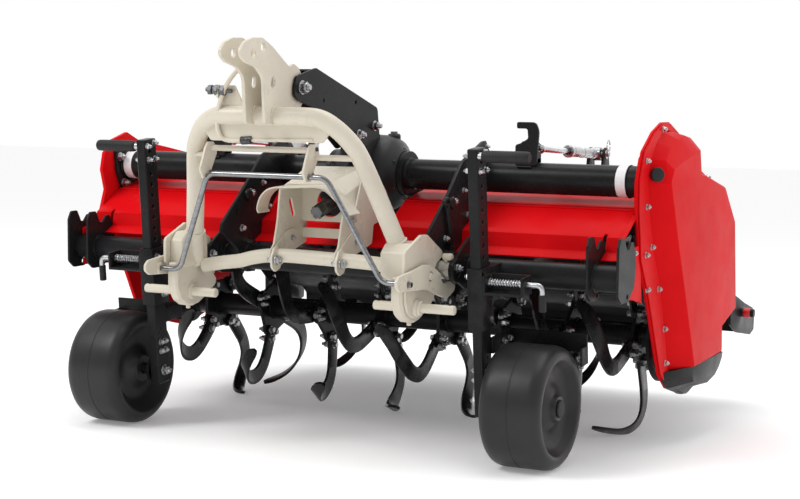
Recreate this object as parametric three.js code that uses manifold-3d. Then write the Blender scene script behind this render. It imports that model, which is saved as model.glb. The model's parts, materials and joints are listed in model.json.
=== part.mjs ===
// Rotary tiller for a three-point hitch: gear case and chain case on a cross tube,
// a tine rotor under a sheet hood, two gauge wheels on height posts, a hinged rear
// board with two pressure struts, and a bolted-on tubular hitch frame.
// Units are millimetres, +Z up, -Y is the tractor side, +X is the chain-case side.
import * as THREE from 'three';
import { mergeVertices } from 'three/addons/utils/BufferGeometryUtils.js';
import Module from 'manifold-3d';

// ---------------------------------------------------------------- dimensions
const PARK_PITCH = 2.555 * Math.PI / 180;   // rear lifted so that wheels and tines share the floor
const FLOOR_SHIFT = 12.774;                 // lifts the pitched machine on to z = 0
const CENTRE_X = -11, CENTRE_Y = -122.818;  // puts the middle of the whole machine over the origin
const GAP = 0.3;                            // between touching pieces

const TUBE_Z = 653.4, TUBE_R = 38.15;       // main cross tube
const SIDE_X = 757;                         // inner face of both side plates
const BEAM_Y = -200, BEAM_Z = 443, BEAM_R = 31.75;
const ROTOR_Y = 280, ROTOR_Z = 236, ROTOR_TIP_R = 264.66, ROTOR_TUBE_R = 30.25;
const FLANGE_X = [-640, -455, -270, -85, 100, 285, 470, 650];
const WHEEL_X = 580.7, WHEEL_Y = -280, WHEEL_R = 145.25, WHEEL_W = 157.8;
const POST_X = 460, POST_LEAN = 4.5 * Math.PI / 180, POST_W = 26, POST_D = 50;
const HITCH_X = 20;                         // centre line of hitch frame and gearbox
const BRACE_MID = 50;                       // middle between the two braces
const COUPLE_Y = -285, COUPLE_Z = 452, COUPLE_R = 22.5; // pins that the hitch frame's lower hooks hold
const PIPE_R = 21.35;                       // hitch arch pipe
const PIN_Y = -410, PIN_Z = 377, PIN_R = 11; // lower hitch pins
const INPUT_PITCH = 15.5 * Math.PI / 180;
const INPUT_Y = -110, INPUT_Z = 626;        // point on the input shaft's axis
const ROTOR_REST = 43.5;                   // tine phase in degrees, two rows of tips on the floor
const APRON_Y = 430, APRON_Z = 594;         // rear board hinge
const STRUT_X = 452, STRUT_AY = 15, STRUT_AZ = 727, STRUT_BY = 475, STRUT_BZ = 688;

// ---------------------------------------------------------------- helpers
const wasm = await Module();
wasm.setup();
const V3 = (x, y, z) => new THREE.Vector3(x, y, z);

function solid(geometry) {
  let g = geometry.clone();
  for (const a of ['normal', 'uv']) if (g.getAttribute(a)) g.deleteAttribute(a);
  g = mergeVertices(g, 1e-3);
  const p = g.getAttribute('position').array, src = g.index.array, tri = [];
  for (let i = 0; i < src.length; i += 3) {
    const [a, b, c] = [src[i], src[i + 1], src[i + 2]];
    if (a !== b && b !== c && a !== c) tri.push(a, b, c);
  }
  return new wasm.Manifold(new wasm.Mesh({
    numProp: 3, vertProperties: new Float32Array(p), triVerts: new Uint32Array(tri),
  }));
}
function toGeometry(m) {
  const mesh = m.getMesh(), n = mesh.numProp, v = mesh.vertProperties;
  const pos = new Float32Array(v.length / n * 3);
  for (let i = 0, j = 0; i < v.length; i += n, j += 3) {
    pos[j] = v[i]; pos[j + 1] = v[i + 1]; pos[j + 2] = v[i + 2];
  }
  const g = new THREE.BufferGeometry();
  g.setAttribute('position', new THREE.BufferAttribute(pos, 3));
  g.setIndex([...mesh.triVerts]);
  g.computeVertexNormals();
  return g;
}
const join = (...parts) => parts.flat().reduce((a, b) => a.add(b));
const cut = (a, ...tools) => tools.flat().reduce((m, t) => m.subtract(t), a);

function box(x0, x1, y0, y1, z0, z1) {
  const g = new THREE.BoxGeometry(x1 - x0, y1 - y0, z1 - z0);
  g.translate((x0 + x1) / 2, (y0 + y1) / 2, (z0 + z1) / 2);
  return solid(g);
}
// box centred on a point and turned about X by pitch
function tiltedBox(cx, cy, cz, sx, sy, sz, pitch) {
  const g = new THREE.BoxGeometry(sx, sy, sz);
  g.rotateX(pitch);
  g.translate(cx, cy, cz);
  return solid(g);
}
function rod(a, b, r, sides = 16) {
  const d = b.clone().sub(a), len = d.length();
  const g = new THREE.CylinderGeometry(r, r, len, sides);
  g.translate(0, len / 2, 0);
  g.applyQuaternion(new THREE.Quaternion().setFromUnitVectors(V3(0, 1, 0), d.normalize()));
  g.translate(a.x, a.y, a.z);
  return solid(g);
}
const rodX = (x0, x1, y, z, r, sides = 16) => rod(V3(x0, y, z), V3(x1, y, z), r, sides);
const rodZ = (x, y, z0, z1, r, sides = 16) => rod(V3(x, y, z0), V3(x, y, z1), r, sides);
const rodY = (x, y0, y1, z, r, sides = 16) => rod(V3(x, y0, z), V3(x, y1, z), r, sides);
function tubeX(x0, x1, y, z, r, bore, sides = 28) {
  return cut(rodX(x0, x1, y, z, r, sides), rodX(x0 - 5, x1 + 5, y, z, bore, 12));
}
// plate with its outline in (y, z), from x0 to x1
function plateX(outline, x0, x1) {
  const s = new THREE.Shape(outline.map(([y, z]) => new THREE.Vector2(y, z)));
  const g = new THREE.ExtrudeGeometry(s, { depth: x1 - x0, bevelEnabled: false, curveSegments: 8 });
  g.applyMatrix4(new THREE.Matrix4().set(0, 0, 1, x0, 1, 0, 0, 0, 0, 1, 0, 0, 0, 0, 0, 1));
  return solid(g);
}
// plate with its outline in (x, z), from y0 to y1
function plateY(outline, y0, y1) {
  const s = new THREE.Shape(outline.map(([x, z]) => new THREE.Vector2(x, z)));
  const g = new THREE.ExtrudeGeometry(s, { depth: y1 - y0, bevelEnabled: false, curveSegments: 8 });
  g.applyMatrix4(new THREE.Matrix4().set(1, 0, 0, 0, 0, 0, -1, y1, 0, 1, 0, 0, 0, 0, 0, 1));
  return solid(g);
}
// sheet of even thickness following a (y, z) line, from x0 to x1
function sheetX(line, t, x0, x1) {
  const left = [], right = [];
  line.forEach(([y, z], i) => {
    const p = line[Math.max(0, i - 1)], n = line[Math.min(line.length - 1, i + 1)];
    const d1 = norm2(y - p[0], z - p[1]), d2 = norm2(n[0] - y, n[1] - z);
    const a = i === 0 ? d2 : d1, b = i === line.length - 1 ? d1 : d2;
    let ny = -(a[1] + b[1]), nz = a[0] + b[0];
    const l = Math.hypot(ny, nz); ny /= l; nz /= l;
    const k = t / 2 / Math.max(0.5, ny * -a[1] + nz * a[0]);
    left.push([y + ny * k, z + nz * k]); right.unshift([y - ny * k, z - nz * k]);
  });
  return plateX([...right.reverse(), ...left.reverse()], x0, x1);
}
function norm2(y, z) { const l = Math.hypot(y, z) || 1; return [y / l, z / l]; }
// a line through stations, one ring of the bar at each station
class Stations extends THREE.Curve {
  constructor(points) { super(); this.points = points.map((p) => V3(...p)); }
  getPoint(t) {
    const n = this.points.length - 1, f = Math.min(Math.max(t * n, 0), n), i = Math.min(Math.floor(f), n - 1);
    return this.points[i].clone().lerp(this.points[i + 1], f - i);
  }
  getPointAt(t) { return this.getPoint(t); }
  getTangentAt(t) {
    const n = this.points.length - 1, i = Math.round(t * n);
    const a = this.points[Math.max(0, i - 1)], b = this.points[i], c = this.points[Math.min(n, i + 1)];
    const d = V3(0, 0, 0);
    if (i > 0) d.add(b.clone().sub(a).normalize());
    if (i < n) d.add(c.clone().sub(b).normalize());
    return d.normalize();
  }
}
// round bar or pipe through points
function bar(points, r, sides = 10) {
  const curve = new Stations(points), steps = points.length - 1;
  const ring = new THREE.Shape();
  for (let i = 0; i < sides; i++) {
    const a = (i + 0.5) / sides * 2 * Math.PI;
    if (i === 0) ring.moveTo(r * Math.cos(a), r * Math.sin(a));
    else ring.lineTo(r * Math.cos(a), r * Math.sin(a));
  }
  ring.closePath();
  return solid(new THREE.ExtrudeGeometry(ring, { steps, bevelEnabled: false, extrudePath: curve }));
}
// polyline with its corners rounded, as points for bar()
function rounded(points, radius, n = 4) {
  const out = [points[0]];
  for (let i = 1; i < points.length - 1; i++) {
    const P = V3(...points[i]), A = V3(...points[i - 1]).sub(P), B = V3(...points[i + 1]).sub(P);
    const ra = Math.min(radius, A.length() * 0.45), rb = Math.min(radius, B.length() * 0.45);
    const a = P.clone().add(A.setLength(ra)), b = P.clone().add(B.setLength(rb));
    for (let k = 0; k <= n; k++) {
      const t = k / n, q = a.clone().multiplyScalar((1 - t) ** 2)
        .add(P.clone().multiplyScalar(2 * t * (1 - t))).add(b.clone().multiplyScalar(t * t));
      out.push([q.x, q.y, q.z]);
    }
  }
  out.push(points[points.length - 1]);
  return out;
}
// solid of revolution about the X axis, profile [[x, r], ...] from axis to axis
function turnedX(profile, sides) {
  const g = new THREE.LatheGeometry(profile.map(([x, r]) => new THREE.Vector2(Math.max(r, 0), x)), sides);
  g.rotateZ(-Math.PI / 2);
  return flipIfNeeded(solidRaw(g));
}
function solidRaw(g0) {
  let g = g0.clone();
  for (const a of ['normal', 'uv']) if (g.getAttribute(a)) g.deleteAttribute(a);
  g = mergeVertices(g, 1e-3);
  const src = g.index.array, tri = [];
  for (let i = 0; i < src.length; i += 3) {
    const [a, b, c] = [src[i], src[i + 1], src[i + 2]];
    if (a !== b && b !== c && a !== c) tri.push(a, b, c);
  }
  g.setIndex(tri);
  return g;
}
function signedVolume(g) {
  const p = g.getAttribute('position'), ix = g.index.array;
  let v = 0; const a = V3(), b = V3(), c = V3();
  for (let i = 0; i < ix.length; i += 3) {
    a.fromBufferAttribute(p, ix[i]); b.fromBufferAttribute(p, ix[i + 1]); c.fromBufferAttribute(p, ix[i + 2]);
    v += a.dot(b.cross(c));
  }
  return v;
}
function flipIfNeeded(g) {
  if (signedVolume(g) < 0) {
    const ix = [...g.index.array];
    for (let i = 0; i < ix.length; i += 3) [ix[i + 1], ix[i + 2]] = [ix[i + 2], ix[i + 1]];
    g.setIndex(ix);
  }
  return new wasm.Manifold(new wasm.Mesh({
    numProp: 3, vertProperties: new Float32Array(g.getAttribute('position').array),
    triVerts: new Uint32Array(g.index.array),
  }));
}
// skin between closed rings of equal length, capped at both ends
function loft(rings, capA, capB) {
  const n = rings[0].length, pos = [], tri = [];
  rings.forEach((r) => r.forEach((p) => pos.push(p[0], p[1], p[2])));
  for (let k = 0; k < rings.length - 1; k++) {
    for (let i = 0; i < n; i++) {
      const j = (i + 1) % n, a = k * n + i, b = k * n + j, c = a + n, d = b + n;
      tri.push(a, b, d, a, d, c);
    }
  }
  const end = (ring, cap, base, flip) => {
    const faces = THREE.ShapeUtils.triangulateShape(cap.map(([u, v]) => new THREE.Vector2(u, v)), []);
    faces.forEach(([a, b, c]) => (flip ? tri.push(base + a, base + c, base + b) : tri.push(base + a, base + b, base + c)));
  };
  // caps wind against the sides, whichever way the rings run
  const area = THREE.ShapeUtils.area(capA.map(([u, v]) => new THREE.Vector2(u, v)));
  end(rings[0], capA, 0, area > 0);
  end(rings[rings.length - 1], capB, (rings.length - 1) * n, area < 0);
  const g = new THREE.BufferGeometry();
  g.setAttribute('position', new THREE.BufferAttribute(new Float32Array(pos), 3));
  g.setIndex(tri);
  return g;
}
function loftX(ringA, xa, ringB, xb) {
  const g = loft([ringA.map(([y, z]) => [xa, y, z]), ringB.map(([y, z]) => [xb, y, z])], ringA, ringB);
  return flipIfNeeded(g);
}
function inset(ring, d) {
  const n = ring.length, area = THREE.ShapeUtils.area(ring.map(([u, v]) => new THREE.Vector2(u, v)));
  const s = area > 0 ? 1 : -1;
  return ring.map(([y, z], i) => {
    const p = ring[(i + n - 1) % n], q = ring[(i + 1) % n];
    const a = norm2(y - p[0], z - p[1]), b = norm2(q[0] - y, q[1] - z);
    let ny = -(a[1] + b[1]) * s, nz = (a[0] + b[0]) * s;
    const l = Math.hypot(ny, nz); ny /= l; nz /= l;
    const k = d / Math.max(0.45, Math.abs(ny * -a[1] * s + nz * a[0] * s));
    return [y + ny * k, z + nz * k];
  });
}
const arc = (cy, cz, r, a0, a1, n) => Array.from({ length: n + 1 }, (_, i) => {
  const a = (a0 + (a1 - a0) * i / n) * Math.PI / 180;
  return [cy + r * Math.cos(a), cz + r * Math.sin(a)];
});

const paint = {
  red: { color: 0xc8101a, roughness: 0.35, metalness: 0.1 },
  black: { color: 0x17181a, roughness: 0.45, metalness: 0.2 },
  cream: { color: 0xd9d0bd, roughness: 0.4, metalness: 0.1 },
  steel: { color: 0x8d9094, roughness: 0.3, metalness: 0.9 },
  cast: { color: 0x202224, roughness: 0.6, metalness: 0.3 },
  rubber: { color: 0x101112, roughness: 0.55, metalness: 0.0 },
};
const machine = new THREE.Group();
machine.rotation.x = PARK_PITCH;
machine.position.set(CENTRE_X, CENTRE_Y, FLOOR_SHIFT);
const group = new THREE.Group();
group.add(machine);

function piece(name, shape, colour, parent = machine) {
  const m = new THREE.Mesh(toGeometry(shape), new THREE.MeshStandardMaterial(paint[colour]));
  m.name = name;
  parent.add(m);
  return m;
}

// ---------------------------------------------------------------- gear case and cross tube
const gb = HITCH_X, inDir = V3(0, -Math.cos(INPUT_PITCH), -Math.sin(INPUT_PITCH));
const inAt = (t) => V3(gb, INPUT_Y, INPUT_Z).add(inDir.clone().multiplyScalar(t));
{
  const body = turnedX([[-98, 0], [-98, 62], [-80, 66], [-66, 88], [-20, 98], [46, 98], [72, 86], [84, 66], [92, 62], [92, 0]], 24)
    .translate([gb, 0, TUBE_Z]);
  const neck = rod(inAt(-70), inAt(64), 56, 20);
  const ring = rod(inAt(46), inAt(62), 66, 20);
  const saddle = box(gb - 36, gb + 36, -118, -28, TUBE_Z + 40, TUBE_Z + 104);
  const plug = rodZ(gb + 48, 20, TUBE_Z + 60, TUBE_Z + 104, 13, 12);
  const shaftHole = rod(inAt(20), inAt(120), 21, 14);
  piece('gearbox', cut(join(body, neck, ring, saddle, plug), shaftHole), 'cast');
}
const tubeFlange = [[-62, 700], [-20, 706], [42, 690], [60, 640], [34, 594], [-36, 590], [-58, 640]];
piece('main_tube_left', join(
  tubeX(-SIDE_X + GAP, gb - 98 - GAP, 0, TUBE_Z, TUBE_R, TUBE_R - 6),
  cut(rodX(gb - 112, gb - 98 - GAP, 0, TUBE_Z, 58, 20), rodX(gb - 120, gb - 90, 0, TUBE_Z, TUBE_R - 6, 12)),
  cut(plateX(tubeFlange, -SIDE_X + GAP, -SIDE_X + 9),
    rodX(-SIDE_X - 5, -SIDE_X + 15, 0, TUBE_Z, TUBE_R - 6, 12)),
), 'black');
piece('main_tube_right', join(
  tubeX(gb + 92 + GAP, 744.7, 0, TUBE_Z, TUBE_R, TUBE_R - 6),
  cut(rodX(gb + 92 + GAP, gb + 108, 0, TUBE_Z, 58, 20), rodX(gb + 80, gb + 120, 0, TUBE_Z, TUBE_R - 6, 12)),
), 'black');

// ---------------------------------------------------------------- chain case
const caseRim = [[92, 172], [-2, 372], [-62, 470], [-80, 596], [-80, 660], [-50, 729], [20, 772], [85, 793], [140, 792],
  [205, 766], [300, 722], [322, 672], [385, 664], [500, 622], [604, 514], [626, 296], [506, 146], [300, 120], [150, 128]];
const coverA = [[150, 176], [84, 389], [30, 480], [-8, 596], [-10, 660], [4, 710], [40, 748], [88, 772], [138, 771],
  [200, 748], [286, 706], [306, 662], [376, 650], [488, 608], [588, 506], [608, 298], [497, 162], [300, 160], [180, 165]];
const coverB = [[236, 174], [144, 389], [102, 480], [54, 592], [32, 648], [40, 690], [80, 702], [120, 704], [150, 706],
  [205, 708], [258, 702], [280, 655], [362, 638], [474, 596], [572, 500], [592, 300], [487, 174], [380, 172], [300, 172]];
{
  const pan = cut(plateX(inset(caseRim, 26), 745, 757.4), plateX(inset(caseRim, 31), 749, 760));
  const rim = cut(plateX(caseRim, 757, 763), plateX(inset(caseRim, 30), 750, 770));
  const tab = cut(plateX([[-40, 368], [-110, 384], [-196, 392], [-200, 494], [-120, 500], [-60, 510]], 757, 763),
    rodX(740, 780, BEAM_Y, BEAM_Z, BEAM_R + 0.5, 28), rodX(740, 780, BEAM_Y + 18, BEAM_Z - 30, 10, 12));
  const housing = rodX(718, 746, ROTOR_Y, ROTOR_Z, 64, 28);
  const rotorHole = rodX(700, 752, ROTOR_Y, ROTOR_Z, 44, 28);
  piece('chain_case', cut(join(pan, rim, tab, housing), rotorHole), 'red');
}
{
  const outer = loftX(coverA, 763 + GAP, coverB, 808);
  const inner = loftX(inset(coverA, 5), 755, inset(coverB, 5), 804);
  const lip = cut(plateX(inset(caseRim, 3), 763 + GAP, 767), plateX(inset(coverA, 4), 760, 770));
  const plug = rod(V3(777, 6, 668), V3(794, -8, 668), 15, 18);
  piece('chain_case_cover', join(cut(outer, inner), lip, plug), 'red');
}
{
  const shoe = plateX([[100, 196], [112, 180], [138, 160], [180, 134], [223, 113], [280, 92], [321, 86], [389, 100], [440, 116], [504, 148], [480, 196]], 744, 767);
  const belly = plateX([[146, 157], [180, 138], [240, 120], [300, 111], [356, 112], [420, 124], [474, 146], [484, 157]], 762, 806);
  const front = plateX([[104, 157], [126, 140], [160, 124], [240, 116], [480, 140], [480, 157], [180, 157]], 760, 776);
  piece('case_skid', cut(join(shoe, belly, front), plateX(inset(caseRim, -1.5), 700, 767.4)), 'black');
}

// ---------------------------------------------------------------- left side plate
const sideOutline = [[37, 262], [-10, 357], [-50, 384], [-110, 388], [-196, 394], [-200, 492], [-150, 505], [-119, 533], [-97, 589],
  [-112, 644], [-100, 689], [-64, 723], [4, 741], [57, 717], [200, 690], [330, 664], [420, 640], [520, 590], [594, 506], [612, 340],
  [570, 250], [470, 204], [370, 184], [310, 170], [250, 170], [180, 188], [86, 204]];
piece('side_plate_left', cut(join(
  plateX(sideOutline, -SIDE_X - 6, -SIDE_X),
  cut(plateX(sideOutline, -SIDE_X - 10, -SIDE_X - 5), plateX(inset(sideOutline, 5), -SIDE_X - 30, -SIDE_X + 5), box(-900, -SIDE_X - 5.9, -300, -136, 380, 560)),
  rodX(-SIDE_X - 26, -SIDE_X - 5, ROTOR_Y, ROTOR_Z, 62, 24),
), rodX(-SIDE_X - 12, -SIDE_X + 5, ROTOR_Y, ROTOR_Z, 34, 24), rodX(-SIDE_X - 30, -SIDE_X + 5, BEAM_Y + 18, BEAM_Z - 30, 10, 12),
  rodX(-SIDE_X - 30, -SIDE_X + 5, BEAM_Y, BEAM_Z, BEAM_R + 0.5, 28)).decompose().sort((a, b) => b.volume() - a.volume())[0], 'red');

// ---------------------------------------------------------------- front beam, hood, braces
const hookOutline = (dy = 0) => [[-56, -57], [-34, -75], [10, -75], [50, -47], [62, 5], [58, 35], [42, 62], [28, 62], [12, 46], [2, 46], [-8, 76], [-42, 76], [-54, 55]]
  .map(([y, z]) => [BEAM_Y + y + dy, BEAM_Z + z + 22]);
function hookPair(s) {
  const outer = s > 0 ? 776 : 763.6;
  const xs = [[s * 702, s * 708.6], [s * outer, s * (outer + 6.6)]].map((p) => p.sort((a, b) => a - b));
  const plates = xs.map(([a, b]) => plateX(hookOutline(), a, b));
  const spacer = rodX(Math.min(s * 704, s * (outer + 3)), Math.max(s * 704, s * (outer + 3)), BEAM_Y + 18, BEAM_Z - 30, 9, 12);
  return cut(join(...plates, spacer), rodX(-763.5, 775.8, BEAM_Y, BEAM_Z, BEAM_R + 0.5, 28),
    rodX(-900, 900, BEAM_Y + 4, BEAM_Z - 40, 5, 10));
}
piece('front_beam', tubeX(-763.2, 775.5, BEAM_Y, BEAM_Z, BEAM_R, BEAM_R - 5), 'black');
{
  piece('hook_bracket_left', hookPair(-1), 'black');
  piece('hook_bracket_right', hookPair(1), 'black');
}
const hoodLine = [[-180, 481], [-146, 497], [-140, 531], [-38, 588], [40, 603], [150, 620], [280, 626], [360, 616], [398, 600]];
{
  const sheet = sheetX(hoodLine, 3.2, -SIDE_X + GAP, 744.6);
  const opening = box(gb - 114, gb + 110, -112, 110, 500, 700);
  const slots = [-710, 701].map((x) => box(x, x + 9, -300, -128, 440, 570));
  piece('hood', cut(sheet, opening, ...slots, plateX(inset(tubeFlange, -0.6), -SIDE_X - 1, -SIDE_X + 9.4)), 'red');
}
function brace(s) {
  const x0 = BRACE_MID + s * 285 - 4, x1 = x0 + 8, out = [[40, 640], [42, 690], [10, 722], [-6, 743], [-24, 741], [-142, 698], [-216, 629], [-328, 540], [-334, 520], [-262, 470], [-240, 440], [-214, 406], [-180, 404], [-164, 440], [-146, 490], [-118, 540], [-60, 600]];
  return cut(plateX(out, x0, x1), rodX(-900, 900, 0, TUBE_Z, TUBE_R + 0.5, 28),
    rodX(-900, 900, BEAM_Y, BEAM_Z, BEAM_R + 0.5, 28), sheetX([[-200, 471.6], ...hoodLine.slice(0, -1), [420, 590]], 4.6, -900, 900));
}
// brace halves: the web that stands in front of the hood, from cross tube to beam
for (const [name, s] of [['brace_left', -1], ['brace_right', 1]]) {
  const parts = brace(s).decompose();
  parts.sort((a, b) => b.volume() - a.volume());
  piece(name, parts[0], 'black');
}

// ears on the beam that carry the short pins the hitch frame latches on to
for (const [side, x] of [['left', -300], ['right', 384]]) {
  const ear = plateX([...arc(COUPLE_Y, COUPLE_Z, 27, 250, 110, 7), [-262, 498], [-214, 524], [-176, 520], [-160, 480], [-160, 420], [-190, 398], [-240, 404], [-270, 420]], x, x + 8);
  piece(`pin_bracket_${side}`, cut(join(ear, rodX(x - 44, x + 2, COUPLE_Y, COUPLE_Z, COUPLE_R, 24)),
    rodX(-900, 900, BEAM_Y, BEAM_Z, BEAM_R + 0.5, 28), sheetX([[-200, 471.6], ...hoodLine.slice(0, -1)], 4.6, -900, 900)).decompose().sort((a, b) => b.volume() - a.volume())[0], 'black');
}

// ---------------------------------------------------------------- mast and hitch frame
const archHalf = [[300, -374, 447], [288.5, -397, 488], [250, -448, 630], [224, -485, 722], [207, -501, 757], [180, -518, 789], [145, -528, 811], [100, -533, 816.5]];
const archPoints = [...archHalf.map(([x, y, z]) => [gb - x, y, z]), [gb, -533, 816.5], ...archHalf.slice().reverse().map(([x, y, z]) => [gb + x, y, z])];
const archLine = new THREE.CatmullRomCurve3(archPoints.map((p) => V3(...p)), false, 'centripetal').getPoints(32)
  .filter((p, i) => !(i < 5 && i % 2) && !(i > 27 && i % 2)).map((p) => [p.x, p.y, p.z]);
const archPipe = (r) => bar(archLine, r, 12);
const gussetPlate = (g) => plateY([[gb - 178 - g, 790], [gb - 150, 757 - g], [gb + 150, 757 - g], [gb + 178 + g, 790], [gb + 150, 802 + g], [gb - 150, 802 + g]], -531 - g, -525 + g);
const mastOutline = [[-579, 800], [-583, 852], [-586, 906], [-616, 929], [-662, 941], [-680, 953], [-682, 968], [-664, 985], [-630, 995], [-588, 995],
  [-545, 975], [-494, 942], [-470, 928], [-452, 936], [-430, 926], [-408, 900], [-404, 850], [-430, 826], [-468, 806], [-490, 794]];
{
  const holes = [[-629, 960, 10], [-586, 973, 10], [-544, 893, 10]].map(([y, z, r]) => rodX(-100, 200, y, z, r, 16));
  const plates = [gb + 26, gb - 26].map((x) => plateX(mastOutline, x - 4.5, x + 4.5));
  const saddle = box(gb - 30, gb + 30, -476, -470, 800, 880);
  const bracket = join(box(gb - 78, gb - 28, -478, -472, 822, 872), box(gb - 78, gb - 72, -508, -472, 838, 872));
  piece('mast_plates', cut(join(...plates, saddle, bracket), ...holes, archPipe(PIPE_R + 0.5), gussetPlate(GAP),
    rodX(-200, 200, -414, 880, 9, 14)), 'cream');
}
piece('hitch_arch', join(archPipe(PIPE_R), gussetPlate(0)), 'cream');
{
  // rear-leaning stay from the mast head down to the gear case
  const out = [[-465, 880], [-465, 863], [-450, 852], [-415, 841], [-349, 825], [-256, 801], [-134, 720], [-86, 728], [-42, 751], [-53, 822], [-362, 925], [-409, 916], [-456, 905]];
  const plates = [gb + 36, gb - 36].map((x) => plateX(out, x - 3, x + 3));
  const spacers = [rodX(gb - 36, gb + 36, -330, 868, 10, 14), rodX(gb - 36, gb + 36, -205, 820, 10, 14)];
  const web = sheetX([[-360, 918], [-200, 866]], 6, gb - 36, gb + 36);
  piece('mast_stay', cut(join(...plates, ...spacers, web), box(gb - 36.3, gb + 36.3, -119, -27, 600, TUBE_Z + 104.3),
    turnedX([[-98.4, 0], [-98.4, 62.4], [-80, 66.5], [-66, 88.6], [-20, 98.6], [46, 98.6], [72, 86.6], [84, 66.5], [92.4, 62.4], [92.4, 0]], 28).translate([gb, 0, TUBE_Z])), 'black');
}
function hitchBox(s) {
  const X = (v) => gb + s * v, lo = (a, b) => Math.min(X(a), X(b)), hi = (a, b) => Math.max(X(a), X(b));
  const v0 = s > 0 ? 258 : 286;
  const shell = plateX([[-452, 446], [-452, 506], [-430, 524], [-362, 524], [-346, 500], [-346, 446]], lo(v0, 324), hi(v0, 324));
  const wing = plateX([[-472, 458], [-472, 512], [-387, 542], [-354, 540], [-277, 494], [-275, 482], [-313, 468], [-346, 440], [-440, 436]], lo(322, 330), hi(322, 330));
  const tongue = plateX([[-470, 452], [-471, 392], [-456, 362], [-430, 346], [-402, 341], [-372, 345], [-336, 360], [-300, 380], [-294, 396], [-318, 420], [-344, 452]], lo(296, 318), hi(296, 318));
  const latch = plateX([[-520, 429], [-535, 443], [-533, 456], [-524, 462], [-463, 467], [-401, 475], [-377, 473], [-345, 463], [-290, 436], [-262, 424], [-228, 408], [-240, 396], [-274, 386], [-303, 391], [-376, 415], [-400, 419]], lo(336, 344), hi(336, 344));
  const studs = [rodX(lo(328, 338), hi(328, 338), -365, 447, 12, 16), rodX(lo(328, 338), hi(328, 338), -440, 450, 9, 14)];
  const eye = rodX(lo(332, 350), hi(332, 350), -482, 440, 13, 16);
  const pinBoss = rodX(lo(290, 334), hi(290, 334), PIN_Y, PIN_Z, 20, 20);
  const legBore = archPipe(PIPE_R + 0.5);
  return { body: join(shell, wing, tongue, latch, ...studs, eye, pinBoss), leg: legBore, X, lo, hi };
}
const rodPath = (s) => [[s * 354, -482, 439], [s * 276, -482, 440], [s * 160, -532, 679], [0, -532, 679]].map(([x, y, z]) => [gb + x, y, z]);
const releaseRod = (r) => bar(rounded([...rodPath(-1).slice(0, 3), ...rodPath(1).slice(0, 3).reverse()], 22, 3), r, 8);
const crossLine = [[-262, -372, 437], [-236, -366, 442], [-207, -364, 447], [-159, -364, 454], [-124, -364, 463], [-84, -364, 470], [-39, -364, 473], [11, -364, 473], [94, -364, 471], [200, -364, 468], [306, -372, 462]];
const crossTube = (r) => bar(crossLine, r, 10);
for (const [name, s] of [['hitch_box_left', -1], ['hitch_box_right', 1]]) {
  const h = hitchBox(s);
  const pin = rodX(h.lo(228, 433), h.hi(228, 433), PIN_Y, PIN_Z, PIN_R + GAP, 20);
  piece(name, cut(h.body, h.leg, pin, crossTube(17.4), releaseRod(7.1), rodX(-360, 383.6, COUPLE_Y, COUPLE_Z, COUPLE_R + 0.8, 24)), 'cream');
}
for (const [name, s] of [['hitch_pin_left', -1], ['hitch_pin_right', 1]]) {
  const a = Math.min(gb + s * 219, gb + s * 426), b = Math.max(gb + s * 219, gb + s * 426);
  piece(name, cut(rodX(a, b, PIN_Y, PIN_Z, PIN_R, 20),
    rodZ(a + 12, PIN_Y, PIN_Z - 20, PIN_Z + 20, 3.6, 10), rodZ(b - 12, PIN_Y, PIN_Z - 20, PIN_Z + 20, 3.6, 10)), 'cream');
}
{
  const tabs = [-50, 128].map((x) => plateX([[-398, 470], [-396, 446], [-380, 434], [-360, 440], [-350, 470], [-366, 496], [-384, 494]], x - 3, x + 3));
  piece('lower_cross_tube', cut(join(crossTube(17), ...tabs), archPipe(PIPE_R + 0.5)).decompose().sort((a, b) => b.volume() - a.volume())[0], 'cream');
}
{
  const lever = [[-556, 690], [-544, 668], [-522, 668], [-508, 690], [-486, 724], [-486, 738], [-500, 752], [-520, 753], [-532, 740]];
  const plates = [-156, 122].map((x) => plateX(lever, x - 3 + 10, x + 3 + 10));
  const cross = rodX(-146, 132, -508, 738, 7, 12);
  const stubs = [rodX(-204, -146, -500, 722, 7, 12), rodX(132, 244, -500, 722, 7, 12)];
  piece('release_yoke', cut(join(...plates, cross, ...stubs), releaseRod(7.1), archPipe(PIPE_R + 0.5)).decompose().sort((a, b) => b.volume() - a.volume())[0], 'cream');
}
piece('release_rod', releaseRod(6.5), 'steel');

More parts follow.
